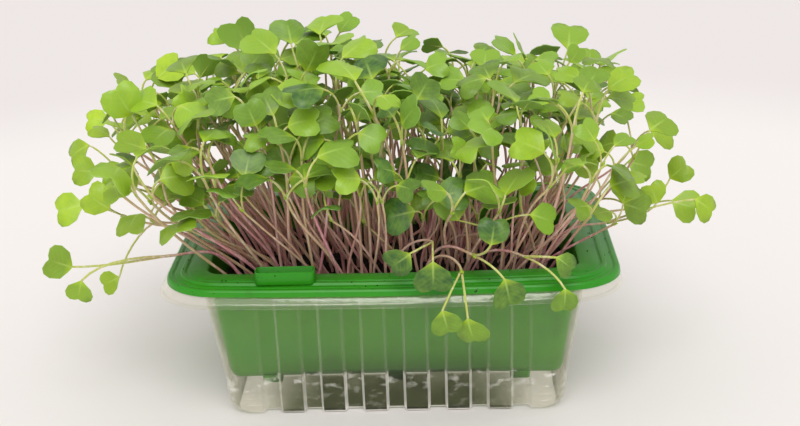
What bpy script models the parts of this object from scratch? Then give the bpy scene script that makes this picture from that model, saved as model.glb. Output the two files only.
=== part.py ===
"""Radish microgreens growing in a green plastic insert, nested in a clear punnet.

The tray stands on z = 0 with the middle of its footprint at the origin, +Z up and its long front side
towards -Y. Lengths are worked out in millimetres and turned to metres when a mesh is made.

Pieces: clear_container (the thermoformed outer punnet), green_insert (the nested tray with the wide rim),
growing_medium (the soil block with plain root holes) and seedlings_01 and on, each a pair of seedlings
joined at the root.
"""
import math
import random

import bmesh
import bpy
from mathutils import Vector
from mathutils.bvhtree import BVHTree

MM = 0.001

# Driving dimensions, in millimetres.
RIM_LENGTH = 190.0          # green rim, along X
RIM_DEPTH = 135.0           # green rim, along Y, at its corners
RIM_BOW = 4.3               # how far the long sides bulge at their middle
RIM_CORNER = 21.6           # radius of the rim's corners
RIM_WIDTH = 17.4            # from the outer lip in to the opening
LIP_ROUND = 0.6             # how far the lip leans in on its way up
BAND_EDGE = 6.4             # from the outer lip in to the raised band
LIP_Z = 61.0                # underside of the green lip
SHEET = 0.7                 # wall of both thermoformed pieces
GAP = 0.3                   # clearance where two pieces meet
BAND_Z = LIP_Z + 3.7        # top of the rim's raised inner band
STEP_Z = LIP_Z + 2.9        # top of the rim's lower outer band
CORNER_STEPS = 4            # straight pieces in each round corner

CONTAINER_BASE_X = 71.0     # half length of the punnet's footprint
CONTAINER_BASE_Y = 52.6     # half depth of the punnet's footprint
CONTAINER_CORNER = 11.0     # radius of its upright corners
FLANGE_SHIFT = -1.2         # the thin flange has sprung this far to the left
WALL_SLOPE = 0.15           # how far each wall leans out for each millimetre of height
FLUTE_DEPTH = 3.2           # how far the flutes of the long sides are pressed in
FLUTE_PITCH = 17.7
FLUTE_WIDTH = 8.4           # between the ribs' edges
FLANK = 1.0                 # width of a flute's or a foot's sloping side
LONG_FLUTES = 7
BASE_ROUND = 2.0            # round between the punnet's base and its walls
FLANGE_OUT = 1.8            # how far the flange shows beyond the green lip
FLANGE_DROP = 4.0           # how far its edge hangs below its top

INSERT_FLOOR_Z = 14.8       # underside of the insert's floor
INSERT_BASE_X = 72.0        # half length of the insert's floor
INSERT_BASE_Y = 46.4        # half depth of the insert's floor
WALL_CORNER = 9.0           # radius of its upright corners
FLOOR_ROUND = 3.0           # round between the insert's floor and its walls
FOOT_PITCH = 53.1           # a foot stands in every third flute
FOOT_WIDTH = 8.6
FOOT_DEPTH = 5.0
FOOT_DROP = 2.2             # how far the feet reach below the floor
BUTTRESS = 1.4              # how far the wall stands out above each foot
BOSS_SIZE = Vector((24.6, 7.6, 5.4))    # open block on the front of the rim
BOSS_X = -43.5
BOSS_INWARD = 7.5           # its middle, in from the rim's straight front
POCKET_SIZE = Vector((21.4, 4.6, 5.0))
POCKET_RISE = 1.4           # the pocket's middle above the block's

SOIL_Z = 50.0               # mean level of the soil
SOIL_SINK = 6.0             # how deep the roots go
HOLE_RADIUS = 3.0
HOLE_SIDES = 5

CLUMP_COLUMNS = 9
CLUMP_ROWS = 6
CLUMP_FIELD_X = 63.0        # half length of the planted field
CLUMP_FIELD_Y = 41.0        # half depth of the planted field
LAYOUT_SEED = 4107

STEM_RADIUS = 1.1
PETIOLE_RADIUS = 0.8
BLADE_THICKNESS = 0.8
BLADE_WIDTH = 14.6          # a full-grown seed leaf, across its two lobes
SMALLEST_BLADE = 10.5
LARGEST_BLADE = 19.0
BLADE_LENGTH_RATIO = 0.74   # its length to the lobes' ends, over its width
WALL_MARGIN = 2.4           # stems keep this far inside the insert's wall
RIM_MARGIN = 3.5            # what hangs over the rim keeps this far outside it
HANG_Z = 12.0               # the lowest that a hanging leaf may reach
UNDERSIDE = Vector((0, 0, 1.3))     # a stem's underside, which stays above the rim
CLEARANCE = 0.35            # swell of each seedling while its neighbours are tested against it
ATTEMPTS = 90               # draws before a place in the field stays empty

# Right half of the notched seed leaf as (across, along), in shares of its width and length.
BLADE_HALF = ((0.30, 0.20), (0.50, 0.62), (0.30, 1.0))
BLADE_NOTCH = 0.78
BLADE_MIDRIB = 0.40


# ---------------------------------------------------------------------------------------------------------
# Objects and materials
# ---------------------------------------------------------------------------------------------------------

def clear_scene():
    for existing in list(bpy.data.objects):
        bpy.data.objects.remove(existing, do_unlink=True)


def plain_material(name, color, roughness, transmission=0.0):
    """A Principled material; every piece is a dielectric."""
    material = bpy.data.materials.new(name)
    material.use_nodes = True
    shader = material.node_tree.nodes["Principled BSDF"]
    shader.inputs["Base Color"].default_value = (*color, 1.0)
    shader.inputs["Roughness"].default_value = roughness
    shader.inputs["Metallic"].default_value = 0.0
    shader.inputs["Transmission Weight"].default_value = transmission
    material.diffuse_color = (*color, 1.0)
    return material


def mesh_object(name, points, faces, material):
    """One object from points in millimetres; its faces are turned to point out."""
    mesh = bpy.data.meshes.new(name)
    mesh.from_pydata([tuple(c * MM for c in point) for point in points], [], faces)
    work = bmesh.new()
    work.from_mesh(mesh)
    bmesh.ops.recalc_face_normals(work, faces=work.faces)
    if work.calc_volume(signed=True) < 0:
        bmesh.ops.reverse_faces(work, faces=work.faces)
    work.to_mesh(mesh)
    work.free()
    if material:
        mesh.materials.append(material)
    made = bpy.data.objects.new(name, mesh)
    bpy.context.scene.collection.objects.link(made)
    return made


def finish(piece, parent, sharp_angle):
    """Shade the piece's rounds smooth, keep its edges sharp, and parent it to the tray's empty."""
    piece.data.shade_smooth()
    piece.data.set_sharp_from_angle(angle=math.radians(sharp_angle))
    piece.parent = parent


def apply_boolean(target, pieces, operation):
    """Cut pieces from target, or join them to it, with one Boolean on their collection."""
    group = bpy.data.collections.new("boolean_pieces")
    bpy.context.scene.collection.children.link(group)
    for piece in pieces:
        group.objects.link(piece)
        bpy.context.scene.collection.objects.unlink(piece)
    modifier = target.modifiers.new("join", "BOOLEAN")
    modifier.operation = operation
    modifier.operand_type = "COLLECTION"
    modifier.collection = group
    modifier.solver = "MANIFOLD"        # EXACT splits these thin bowed walls into loose shells
    bpy.context.view_layer.update()
    evaluated = target.evaluated_get(bpy.context.evaluated_depsgraph_get())
    result = bpy.data.meshes.new_from_object(evaluated)
    target.modifiers.remove(modifier)
    target.data = result
    for piece in list(group.objects):
        bpy.data.objects.remove(piece, do_unlink=True)
    bpy.data.collections.remove(group)


# ---------------------------------------------------------------------------------------------------------
# Tray outlines: closed loops of points, the same number in every loop of a piece
# ---------------------------------------------------------------------------------------------------------

def side_stations(count, pitch, width, flank):
    """Where a side's relief begins and ends: (place along the side, how deep there, 0 or 1)."""
    stations = []
    for index in range(count):
        middle = (index - (count - 1) / 2) * pitch
        stations += [(middle - width / 2 - flank, 0), (middle - width / 2, 1),
                     (middle + width / 2, 1), (middle + width / 2 + flank, 0)]
    return stations


FLUTES = side_stations(LONG_FLUTES, FLUTE_PITCH, FLUTE_WIDTH - 2 * FLANK, FLANK)
FEET = side_stations(3, FOOT_PITCH, FOOT_WIDTH, 2.5 * FLANK)
FOOT_PLACES = (-FOOT_PITCH, 0.0, FOOT_PITCH)
SOIL_STATIONS = ((-42.0, 0), (0.0, 0), (42.0, 0))


def tray_loop(half_x, half_y, corner, bow, z, stations, depth=0.0, shift=0.0):
    """A rectangle with round corners and bowed long sides, where depth moves the stations marked 1 out."""
    def bulge(x):
        return bow * (1 - (x / half_x) ** 2)

    points = []
    for turn in range(4):
        sign_x = 1 if turn in (0, 1) else -1
        sign_y = -1 if turn in (0, 3) else 1
        if turn in (0, 2):
            for along, raised in stations:
                points.append((sign_x * along, sign_y * (half_y + bulge(along) + depth * raised)))
        for step in range(CORNER_STEPS + 1):
            angle = math.radians(-90 + 90 * turn + 90 * step / CORNER_STEPS)
            x = sign_x * (half_x - corner) + corner * math.cos(angle)
            y = sign_y * (half_y - corner) + corner * math.sin(angle)
            points.append((x, y + sign_y * bulge(x)))
    return [Vector((x + shift, y, z)) for x, y in points]


def loft(name, loops, material):
    """A closed body through loops of equal count, with its two end loops filled."""
    count = len(loops[0])
    points = [point for loop in loops for point in loop]
    faces = []
    for level in range(len(loops) - 1):
        low = level * count
        high = low + count
        for index in range(count):
            following = (index + 1) % count
            faces.append((low + index, low + following, high + following, high + index))
    faces.append(tuple(reversed(range(count))))
    faces.append(tuple(range(len(points) - count, len(points))))
    return mesh_object(name, points, faces, material)


def container_loop(z, inset):
    """A level of the punnet's fluted body."""
    lean = WALL_SLOPE * z - inset
    return tray_loop(CONTAINER_BASE_X + lean, CONTAINER_BASE_Y + lean, CONTAINER_CORNER - inset, 0.0, z,
                     FLUTES, depth=-FLUTE_DEPTH)


def flange_loop(out, z):
    """A level of the punnet's flange, out millimetres beyond the green rim."""
    return tray_loop(RIM_LENGTH / 2 + out, RIM_DEPTH / 2 + out, RIM_CORNER + out, RIM_BOW, z,
                     FLUTES, shift=FLANGE_SHIFT)


def rim_loop(inward, z):
    """A level of the green rim, inward millimetres from its outer lip."""
    return tray_loop(RIM_LENGTH / 2 - inward, RIM_DEPTH / 2 - inward, RIM_CORNER - inward, RIM_BOW, z, FEET)


def wall_size(z):
    """Half length and half depth of the green insert's wall at a height, and how far it bows there."""
    rise = (z - INSERT_FLOOR_Z) / (BAND_Z - INSERT_FLOOR_Z)
    half_x = INSERT_BASE_X + (RIM_LENGTH / 2 - RIM_WIDTH - INSERT_BASE_X) * rise
    half_y = INSERT_BASE_Y + (RIM_DEPTH / 2 - RIM_WIDTH - INSERT_BASE_Y) * rise
    return half_x, half_y, RIM_BOW * rise


def wall_loop(z, inset, stations, depth=0.0):
    """A level of the green insert's wall, between its floor and its opening."""
    half_x, half_y, bow = wall_size(z)
    return tray_loop(half_x - inset, half_y - inset, WALL_CORNER - inset - bow, bow, z, stations, depth)


def build_container(material):
    top = LIP_Z - GAP
    edge = top - FLANGE_DROP
    fold = edge + 0.6
    loops = [
        container_loop(0.0, BASE_ROUND),
        container_loop(0.8 * BASE_ROUND, 0.2 * BASE_ROUND),
        container_loop(top - SHEET - 2.0, 0.0),
        flange_loop(-2.4, top - SHEET),
        flange_loop(-0.8, fold),
        flange_loop(FLANGE_OUT, edge),
        flange_loop(FLANGE_OUT, edge + SHEET),
        flange_loop(-0.2, fold + SHEET),
        flange_loop(-1.8, top),
        container_loop(top - 2.0, SHEET),
        container_loop(0.8 * BASE_ROUND, SHEET + 0.2 * BASE_ROUND),
        container_loop(SHEET, SHEET + 0.8 * BASE_ROUND),
    ]
    return loft("clear_container", loops, material)


def rounded_box(name, size, middle, corner, top_inset=0.0, steps=2):
    """An upright block with round corners, drawn in a little towards its top."""
    loops = []
    for z, inset in ((-size.z / 2, 0.0), (size.z / 2, top_inset)):
        loop = []
        for turn in range(4):
            sign_x = 1 if turn in (0, 1) else -1
            sign_y = -1 if turn in (0, 3) else 1
            for step in range(steps + 1):
                angle = math.radians(-90 + 90 * turn + 90 * step / steps)
                x = sign_x * (size.x / 2 - corner) + (corner - inset) * math.cos(angle)
                y = sign_y * (size.y / 2 - corner) + (corner - inset) * math.sin(angle)
                loop.append(middle + Vector((x, y, z)))
        loops.append(loop)
    return loft(name, loops, None)


def build_insert(material):
    rounded = INSERT_FLOOR_Z + FLOOR_ROUND
    loops = [
        wall_loop(INSERT_FLOOR_Z, FLOOR_ROUND, FEET, BUTTRESS),
        wall_loop(rounded, 0.0, FEET, BUTTRESS),
        rim_loop(RIM_WIDTH - SHEET, BAND_Z - SHEET),
        rim_loop(BAND_EDGE + 0.4, BAND_Z - SHEET),
        rim_loop(BAND_EDGE - 0.2, STEP_Z - SHEET),
        rim_loop(LIP_ROUND + SHEET, STEP_Z - SHEET),
        rim_loop(SHEET, LIP_Z),
        rim_loop(0.0, LIP_Z),
        rim_loop(LIP_ROUND, STEP_Z),
        rim_loop(BAND_EDGE - 0.6, STEP_Z),
        rim_loop(BAND_EDGE, BAND_Z),
        rim_loop(RIM_WIDTH, BAND_Z),
        wall_loop(rounded, SHEET, FEET, BUTTRESS),
        wall_loop(INSERT_FLOOR_Z + SHEET, FLOOR_ROUND + 0.4, FEET, BUTTRESS),
    ]
    insert = loft("green_insert", loops, material)

    overlap = 0.2
    added = []
    for side in (-1, 1):
        for place in FOOT_PLACES:
            size = Vector((FOOT_WIDTH, FOOT_DEPTH, FOOT_DROP + 2 * overlap))
            middle = Vector((place, side * (INSERT_BASE_Y - 3.4), INSERT_FLOOR_Z - FOOT_DROP / 2 + overlap))
            added.append(rounded_box("foot", size, middle, 1.2, steps=1))
    boss_z = BAND_Z + BOSS_SIZE.z / 2 - 1.5 * overlap
    boss_middle = Vector((BOSS_X, BOSS_INWARD - RIM_DEPTH / 2 - 0.5 * RIM_BOW, boss_z))
    added.append(rounded_box("boss", BOSS_SIZE, boss_middle, 2.0, top_inset=0.6))
    apply_boolean(insert, added, "UNION")
    pocket = rounded_box("pocket", POCKET_SIZE, boss_middle + Vector((0, 0, POCKET_RISE)), 1.2)
    apply_boolean(insert, [pocket], "DIFFERENCE")
    return insert


# ---------------------------------------------------------------------------------------------------------
# Soil
# ---------------------------------------------------------------------------------------------------------

def soil_level(x, y):
    """Height of the soil's crumbly surface, highest at the left."""
    return SOIL_Z - 0.02 * x + 1.1 * math.sin(x / 13.0 + 0.6) + 0.9 * math.cos(y / 11.0 + x / 29.0)


def build_soil(roots, material):
    clearance = SHEET + 0.5
    outline = [wall_loop(INSERT_FLOOR_Z + SHEET + GAP, clearance + FLOOR_ROUND, SOIL_STATIONS),
               wall_loop(INSERT_FLOOR_Z + 4.0, clearance, SOIL_STATIONS),
               wall_loop(SOIL_Z - 3.0, clearance, SOIL_STATIONS)]
    for share_x, share_y in ((1.0, 1.0), (0.7, 0.55)):
        spots = [(p.x * share_x, p.y * share_y) for p in outline[2]]
        outline.append([Vector((x, y, soil_level(x, y))) for x, y in spots])
    soil = loft("growing_medium", outline, material)
    cutters = []
    for x, y in roots:
        loops = []
        for z in (soil_level(x, y) - SOIL_SINK - 0.6, soil_level(x, y) + 8.0):
            ring = [Vector((x + HOLE_RADIUS * math.cos(math.tau * k / HOLE_SIDES),
                            y + HOLE_RADIUS * math.sin(math.tau * k / HOLE_SIDES), z))
                    for k in range(HOLE_SIDES)]
            loops.append(ring)
        cutters.append(loft("root_hole", loops, None))
    apply_boolean(soil, cutters, "DIFFERENCE")
    return soil


# ---------------------------------------------------------------------------------------------------------
# Seedlings: each is a stem that forks into two petioles, with one notched seed leaf on each
# ---------------------------------------------------------------------------------------------------------

class Leaf:
    """A seed leaf's place: its base, the way its midrib points, the way its upper face looks."""

    def __init__(self, base, tip, face, width, arch, curl):
        self.base = base
        self.tip = tip.normalized()
        self.face = (face - face.project(self.tip)).normalized()
        self.width = width
        self.arch = arch
        self.curl = curl

    def point(self, across, along, height=0.0):
        """A point of the blade; across and along are shares of its width and length."""
        side = self.tip.cross(self.face)
        edge = 2 * abs(across)
        sag = self.arch * edge ** 1.6 * (0.4 + 0.6 * along) + self.curl * along ** 2
        length = self.width * BLADE_LENGTH_RATIO
        return (self.base + self.tip * (along * length) + side * (across * self.width)
                + self.face * (height - sag * self.width))


class Seedling:
    """A stem from its root hole to its node, and its two leaves."""

    def __init__(self, root, collar, node, rise, arrival, leaves):
        self.root = root
        self.collar = collar
        self.node = node
        self.rise = rise
        self.arrival = arrival.normalized()
        self.leaves = leaves

    def stem_point(self, t):
        """The hypocotyl's curve from the soil (t = 0) to the node (t = 1)."""
        reach = (self.node - self.collar).length
        late = self.node - self.arrival * (0.38 * reach)
        early = self.collar + self.rise
        return (self.collar * (1 - t) ** 3 + early * (3 * t * (1 - t) ** 2)
                + late * (3 * t * t * (1 - t)) + self.node * t ** 3)

    def stem_direction(self, t):
        step = 0.01
        return (self.stem_point(min(t + step, 1.0)) - self.stem_point(max(t - step, 0.0))).normalized()

    def pair_axis(self):
        """Across the node, from the second leaf to the first, square to the stem."""
        spread = self.leaves[0].base - self.leaves[1].base
        return (spread - spread.project(self.arrival)).normalized()

    def petiole_point(self, leaf, t):
        bend = self.node + self.arrival * (0.55 * (leaf.base - self.node).length)
        bend = bend * 0.5 + (leaf.base - leaf.tip * (0.3 * (leaf.base - self.node).length)) * 0.5
        return self.node * (1 - t) ** 2 + bend * (2 * t * (1 - t)) + leaf.base * t ** 2


STEM_STOPS = (0.0, 0.3, 0.64)
PETIOLE_STOPS = (0.5, 1.0)


def add_ring(points, middle, along, forward, radius):
    """Three points round a stem; the first lies towards forward."""
    forward = (forward - forward.project(along)).normalized()
    across = forward.cross(along)
    start = len(points)
    points.append(middle + forward * radius)
    points.append(middle - across * (0.87 * radius) - forward * (0.5 * radius))
    points.append(middle + across * (0.87 * radius) - forward * (0.5 * radius))
    return (start, start + 1, start + 2)


def bridge(points, lower, upper):
    """Faces between two rings of three, turned to meet at their nearest points."""
    def twist(turn):
        return sum((points[lower[k]] - points[upper[(k + turn) % 3]]).length_squared for k in range(3))

    turn = min(range(3), key=twist)
    faces = []
    for k in range(3):
        following = (k + 1) % 3
        faces.append((lower[k], lower[following], upper[(following + turn) % 3], upper[(k + turn) % 3]))
    return faces


def add_fork(points, ring, middle, front, axis, radius):
    """Close a ring of three into four points, split between two branches along axis and against it.

    Returns the faces, and a ring of three for each branch.
    """
    fore, left, back, right = range(len(points), len(points) + 4)
    for way in (front, -axis, -front, axis):
        points.append(middle + way * radius)
    faces = [(ring[0], ring[1], left, fore), (ring[2], ring[0], fore, right),
             (ring[1], ring[2], right, back, left)]
    return faces, (right, fore, back), (left, back, fore)


def stem_and_leaves(points, seedling, start, swell=0.0):
    """Carry on from the ring at the soil; returns the faces of the stem and of each leaf."""
    axis = seedling.pair_axis()
    front = seedling.arrival.cross(axis).normalized()
    radius = STEM_RADIUS + swell
    rings = [start] if start else []
    for t in STEM_STOPS:
        rings.append(add_ring(points, seedling.stem_point(t), seedling.stem_direction(t), front, radius))
    stem = []
    for lower, upper in zip(rings, rings[1:]):
        stem.append(bridge(points, lower, upper))
    fork, right, left = add_fork(points, rings[-1], seedling.node, front, axis, radius)
    stem.append(fork)
    blades = [leaf_faces(points, seedling, leaf, front, branch, swell)
              for leaf, branch in zip(seedling.leaves, (right, left))]
    return stem, blades


def clump_mesh(seedlings):
    """One closed mesh: a root that carries a single seedling, or forks below the soil into two."""
    points = []
    root = seedlings[0].root
    step = seedlings[0].collar - root
    axis = Vector((step.x, step.y, 0)).normalized()
    upright = Vector((0, 0, 1))
    front = upright.cross(axis)
    ring = add_ring(points, root, upright, front, STEM_RADIUS)
    faces = [tuple(reversed(ring))]
    starts = [ring]
    if len(seedlings) == 2:
        fork, right, left = add_fork(points, ring, root + upright * (0.5 * SOIL_SINK), front, axis,
                                     STEM_RADIUS)
        faces += fork
        starts = [right, left]
    for seedling, start in zip(seedlings, starts):
        stem, blades = stem_and_leaves(points, seedling, start)
        for group in stem + blades:
            faces += group
    return points, faces


def leaf_faces(points, seedling, leaf, front, branch, swell):
    """Add one petiole and its blade from a branch of the fork; returns their faces."""
    faces = []
    outward = (points[branch[0]] - seedling.node).normalized()
    previous = branch
    for t in PETIOLE_STOPS:
        middle = seedling.petiole_point(leaf, t)
        along = (middle - seedling.petiole_point(leaf, t - 0.1)).normalized()
        under = outward * (1 - t) - leaf.face * t
        current = add_ring(points, middle, along, under, PETIOLE_RADIUS + swell)
        faces += bridge(points, previous, current)
        previous = current
    previous = (previous[2], previous[1], previous[0])

    half = BLADE_THICKNESS / 2 + swell
    grow = 1 + 2 * swell / leaf.width
    right = [(across * grow, along) for across, along in BLADE_HALF]
    left = [(-across, along) for across, along in right]
    outline = right + [(0.0, BLADE_NOTCH)] + left[::-1]
    sheets = []
    for height in (half, -half):
        start = len(points)
        points.extend(leaf.point(across, along, height) for across, along in outline + [(0.0, BLADE_MIDRIB)])
        sheets.append([start + k for k in range(len(outline) + 1)])
    for (r1, r2, r3, notch, l3, l2, l1, rib), ends in zip(sheets, (previous[:2], previous[2:] * 2)):
        faces += [(ends[0], r1, rib), (r1, r2, rib), (r2, notch, rib), (r2, r3, notch),
                  (ends[1], rib, l1), (l1, rib, l2), (l2, rib, notch), (l2, notch, l3)]
    faces.append((previous[0], sheets[0][7], previous[1]))
    upper, lower = sheets
    for k in range(6):
        faces.append((upper[k], lower[k], lower[k + 1], upper[k + 1]))
    faces.append((previous[0], previous[2], lower[0], upper[0]))
    faces.append((previous[1], upper[6], lower[6], previous[2]))
    return faces


def triangles(faces):
    for face in faces:
        for k in range(1, len(face) - 1):
            yield (face[0], face[k], face[k + 1])


class Planting:
    """Keeps each new seedling clear of the tray, the soil and all the seedlings before it."""

    def __init__(self):
        self.standing = []

    @staticmethod
    def clears_tray(point):
        x, y, z = point
        half_x, half_y, bow = wall_size(min(z, BAND_Z))
        half_y += bow * (1 - (x / half_x) ** 2)
        if abs(x) < half_x - WALL_MARGIN and abs(y) < half_y - WALL_MARGIN:
            return z > soil_level(x, y) + 0.5
        if abs(x) > RIM_LENGTH / 2 + RIM_MARGIN or abs(y) > RIM_DEPTH / 2 + RIM_BOW + RIM_MARGIN:
            return z > HANG_Z
        over_boss = abs(x - BOSS_X) < BOSS_SIZE.x / 2 + RIM_MARGIN and y < RIM_WIDTH - RIM_DEPTH / 2
        return z > BAND_Z + (BOSS_SIZE.z + 2.0 if over_boss else 1.0)

    def trees(self, seedling):
        """Swollen shapes for the tests: the foot of the stem, its upper part, and each leaf."""
        points = []
        stem, blades = stem_and_leaves(points, seedling, None, CLEARANCE)
        parts = []
        for faces in (stem[0], stem[1] + stem[2], blades[0], blades[1]):
            parts.append(BVHTree.FromPolygons(points, list(triangles(faces))))
        low = Vector([min(p[k] for p in points) for k in range(3)])
        high = Vector([max(p[k] for p in points) for k in range(3)])
        return parts, low, high

    def accepts(self, seedling, clump):
        for leaf in seedling.leaves:
            outline = [leaf.point(*spot) for spot in BLADE_HALF]
            outline += [leaf.point(-across, along) for across, along in BLADE_HALF]
            petiole = [seedling.petiole_point(leaf, t) for t in (0.3, 0.6, 0.9)]
            if not all(self.clears_tray(p - Vector((0, 0, 1))) for p in outline + petiole):
                return False
        stops = [seedling.stem_point(t) for t in STEM_STOPS] + [seedling.node]
        stem = [seedling.stem_point(t / 16) for t in range(1, 17)]
        stem += [a.lerp(b, k / 5) for a, b in zip(stops, stops[1:]) for k in range(1, 6)]
        if not all(self.clears_tray(p) and self.clears_tray(p - UNDERSIDE) for p in stem if p.z > BAND_Z - 6):
            return False
        if not all(self.clears_tray(p) for p in stem):
            return False
        parts, low, high = self.trees(seedling)
        if parts[2].overlap(parts[3]):
            return False
        for others, other_low, other_high, other_clump in self.standing:
            if any(low[k] > other_high[k] or high[k] < other_low[k] for k in range(3)):
                continue
            same_root = other_clump == clump
            for first, part in enumerate(parts):
                for second, other in enumerate(others):
                    if not (same_root and first == second == 0) and part.overlap(other):
                        return False
        self.standing.append((parts, low, high, clump))
        return True


def heading(azimuth, elevation):
    return Vector((math.cos(azimuth) * math.cos(elevation), math.sin(azimuth) * math.cos(elevation),
                   math.sin(elevation)))


def grown_seedling(root_x, root_y, step, draw):
    """A seedling by rule: it leans out from the middle of the tray and spreads its leaves to the light."""
    u = root_x / 70.0
    v = root_y / 46.0
    lean = 1.0 if draw.random() < 0.75 else 1.25
    x = root_x + lean * (36.0 if u < 0 else 27.0) * u * abs(u) ** 0.4 + draw.gauss(-4.0, 10.0)
    y = root_y + lean * 18.0 * v + draw.gauss(-2.0, 8.0)
    hollow = 10.0 if 2.0 < x < 38.0 else 3.0 if x > 38.0 else 0.0
    crown = 74.0 - 13.0 * (x / 110.0) ** 2 - 5.0 * (y / 70.0) ** 2 - hollow
    reach = 0.72 if v < -0.5 else 0.58 if v < 0.0 else 0.42
    z = LIP_Z + crown * (1 - reach * draw.random() ** 1.15) - 8.0 * (lean > 1.0)
    ground = soil_level(root_x, root_y)
    root = Vector((root_x, root_y, ground - SOIL_SINK))
    collar = root + step + Vector((0, 0, SOIL_SINK + 0.6))
    node = Vector((x, y, z))
    tall = z - ground
    rise = Vector((draw.gauss(0.25 * (x - root_x), 7.0), draw.gauss(0.25 * (y - root_y), 6.0), 0.34 * tall))
    arrival = Vector((0.8 * (x - root_x) + draw.gauss(0, 17), 0.8 * (y - root_y) + draw.gauss(0, 13), tall))
    axis = draw.gauss(0.0, 0.9) + (math.pi if draw.random() < 0.5 else 0.0)
    leaves = []
    for turn in (0.0, math.pi):
        azimuth = axis + turn + draw.gauss(0, 0.3)
        length = draw.uniform(6.0, 13.0)
        climb = draw.uniform(0.55, 1.2)
        base = node + (heading(azimuth, climb) + arrival.normalized() * 0.35) * length
        tip = heading(azimuth + draw.gauss(0, 0.3), climb - draw.uniform(0.0, 0.85))
        face = Vector((draw.gauss(0.25 * u, 0.35), -0.30 + 0.25 * v + draw.gauss(0, 0.42), 1.0))
        width = min(max(draw.gauss(BLADE_WIDTH, 2.6), SMALLEST_BLADE), LARGEST_BLADE)
        leaves.append(Leaf(base, tip, face, width, draw.uniform(0.02, 0.34), draw.uniform(0.0, 0.34)))
    return Seedling(root, collar, node, rise, arrival, leaves)


# Seedlings that lean out of the tray: (clump column, row, node, rise, arrival), then for each of the two
# leaves (base, angle of the midrib seen from the front in degrees from +X, how far its face looks up).
STRAYS = (
    (0, 0, (-96, -42, 70), (-9, 0, 24), (-1.0, 0.0, -0.05),
     ((-136, -42, 66), 150, 15, 15), ((-131, -48, 62), 255, 20, 12)),
    (0, 1, (-109, -27, 74), (-14, 0, 28), (-1.0, 0.1, 0.25),
     ((-134, -38, 50), 240, 20, 14), ((-112, -33, 63), 265, 25, 11)),
    (0, 2, (-107, -12, 73), (-14, 0, 30), (-1.0, 0.1, 0.2),
     ((-123, -20, 50), 200, 30, 11), ((-103, -20, 84), 60, 30, 11)),
    (0, 1, (-116, -20, 79), (-16, 0, 32), (-0.9, 0.0, 0.4),
     ((-121, -29, 86), 140, 20, 15), ((-136, -14, 83), 185, 35, 16)),
    (0, 3, (-120, -2, 92), (-18, 0, 36), (-0.8, 0.0, 0.6),
     ((-129, -12, 97), 170, 20, 14), ((-136, 6, 104), 200, 35, 14)),
    (0, 2, (-101, -26, 92), (-12, 0, 34), (-0.6, -0.1, 0.7),
     ((-106, -34, 97), 135, 20, 15), ((-113, -20, 100), 175, 40, 13)),
    (8, 1, (94, -24, 72), (12, 0, 26), (1.0, 0.0, 0.1),
     ((131, -28, 83), 330, 25, 13), ((116, -22, 80), 110, 40, 12)),
    (8, 2, (108, -8, 74), (16, 0, 28), (1.0, 0.0, 0.2),
     ((120, -16, 79), 345, 20, 15), ((122, 4, 83), 50, 30, 13)),
    (8, 1, (86, -14, 80), (10, 0, 30), (0.9, 0.0, 0.4),
     ((98, -28, 83), 345, 10, 14), ((101, -16, 98), 350, 25, 14)),
    (8, 3, (107, 8, 98), (14, 0, 40), (0.5, 0.0, 0.8),
     ((114, 2, 107), 355, 55, 14), ((104, 22, 114), 20, 60, 13)),
    (4, 0, (17, -66, 80), (2, -6, 30), (0.0, -0.8, 0.2),
     ((17, -81, 77), 270, 8, 16), ((8, -79, 80), 215, 20, 13)),
    (5, 0, (29, -72, 73), (3, -8, 26), (0.1, -1.0, -0.1),
     ((21, -85, 61), 285, 15, 13), ((31, -84, 57), 280, 15, 14)),
    (5, 0, (33, -68, 77), (4, -7, 30), (0.4, -0.9, 0.1),
     ((45, -80, 71), 285, 15, 15), ((40, -78, 85), 80, 25, 13)),
    (6, 0, (54, -64, 75), (4, -6, 27), (0.4, -0.9, 0.1),
     ((69, -80, 67), 270, 15, 12), ((66, -74, 78), 330, 35, 11)),
    (5, 1, (40, -50, 80), (4, -4, 30), (0.5, -0.6, 0.6),
     ((56, -62, 90), 345, 45, 14), ((27, -58, 87), 110, 25, 14)),
    (4, 1, (14, -52, 84), (0, -5, 30), (0.0, -0.6, 0.8),
     ((11, -62, 91), 185, 30, 16), ((20, -62, 96), 30, 40, 15)),
)


def stray_seedling(root_x, root_y, step, entry, draw):
    node, rise, arrival, *leaf_entries = entry
    shake = Vector((draw.gauss(0, 1.0), draw.gauss(0, 2.5), draw.gauss(0, 1.0)))
    node = Vector(node) + shake
    ground = soil_level(root_x, root_y)
    root = Vector((root_x, root_y, ground - SOIL_SINK))
    collar = root + step + Vector((0, 0, SOIL_SINK + 0.6))
    leaves = []
    for base, angle, lift, width in leaf_entries:
        tilt = math.radians(lift)
        tip = heading(math.radians(angle), 0)
        tip = Vector((tip.x, -0.25 + draw.gauss(0, 0.08), tip.y))
        face = Vector((draw.gauss(0, 0.3), -math.cos(tilt), math.sin(tilt)))
        leaves.append(Leaf(Vector(base) + shake, tip, face, width, draw.uniform(0.08, 0.3),
                           draw.uniform(0.05, 0.26)))
    return Seedling(root, collar, node, Vector(rise), Vector(arrival), leaves)


def clump_roots():
    """Where the clumps stand: a grid with every other row shifted, each place drawn a little aside."""
    draw = random.Random(LAYOUT_SEED)
    roots = {}
    for row in range(CLUMP_ROWS):
        for column in range(CLUMP_COLUMNS):
            x = CLUMP_FIELD_X * (2 * column / (CLUMP_COLUMNS - 1) - 1) * 0.94 + (3.0 if row % 2 else -3.0)
            y = CLUMP_FIELD_Y * (2 * row / (CLUMP_ROWS - 1) - 1)
            roots[(column, row)] = (x + draw.uniform(-2.0, 2.0), y + draw.uniform(-1.8, 1.8))
    return roots


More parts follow.
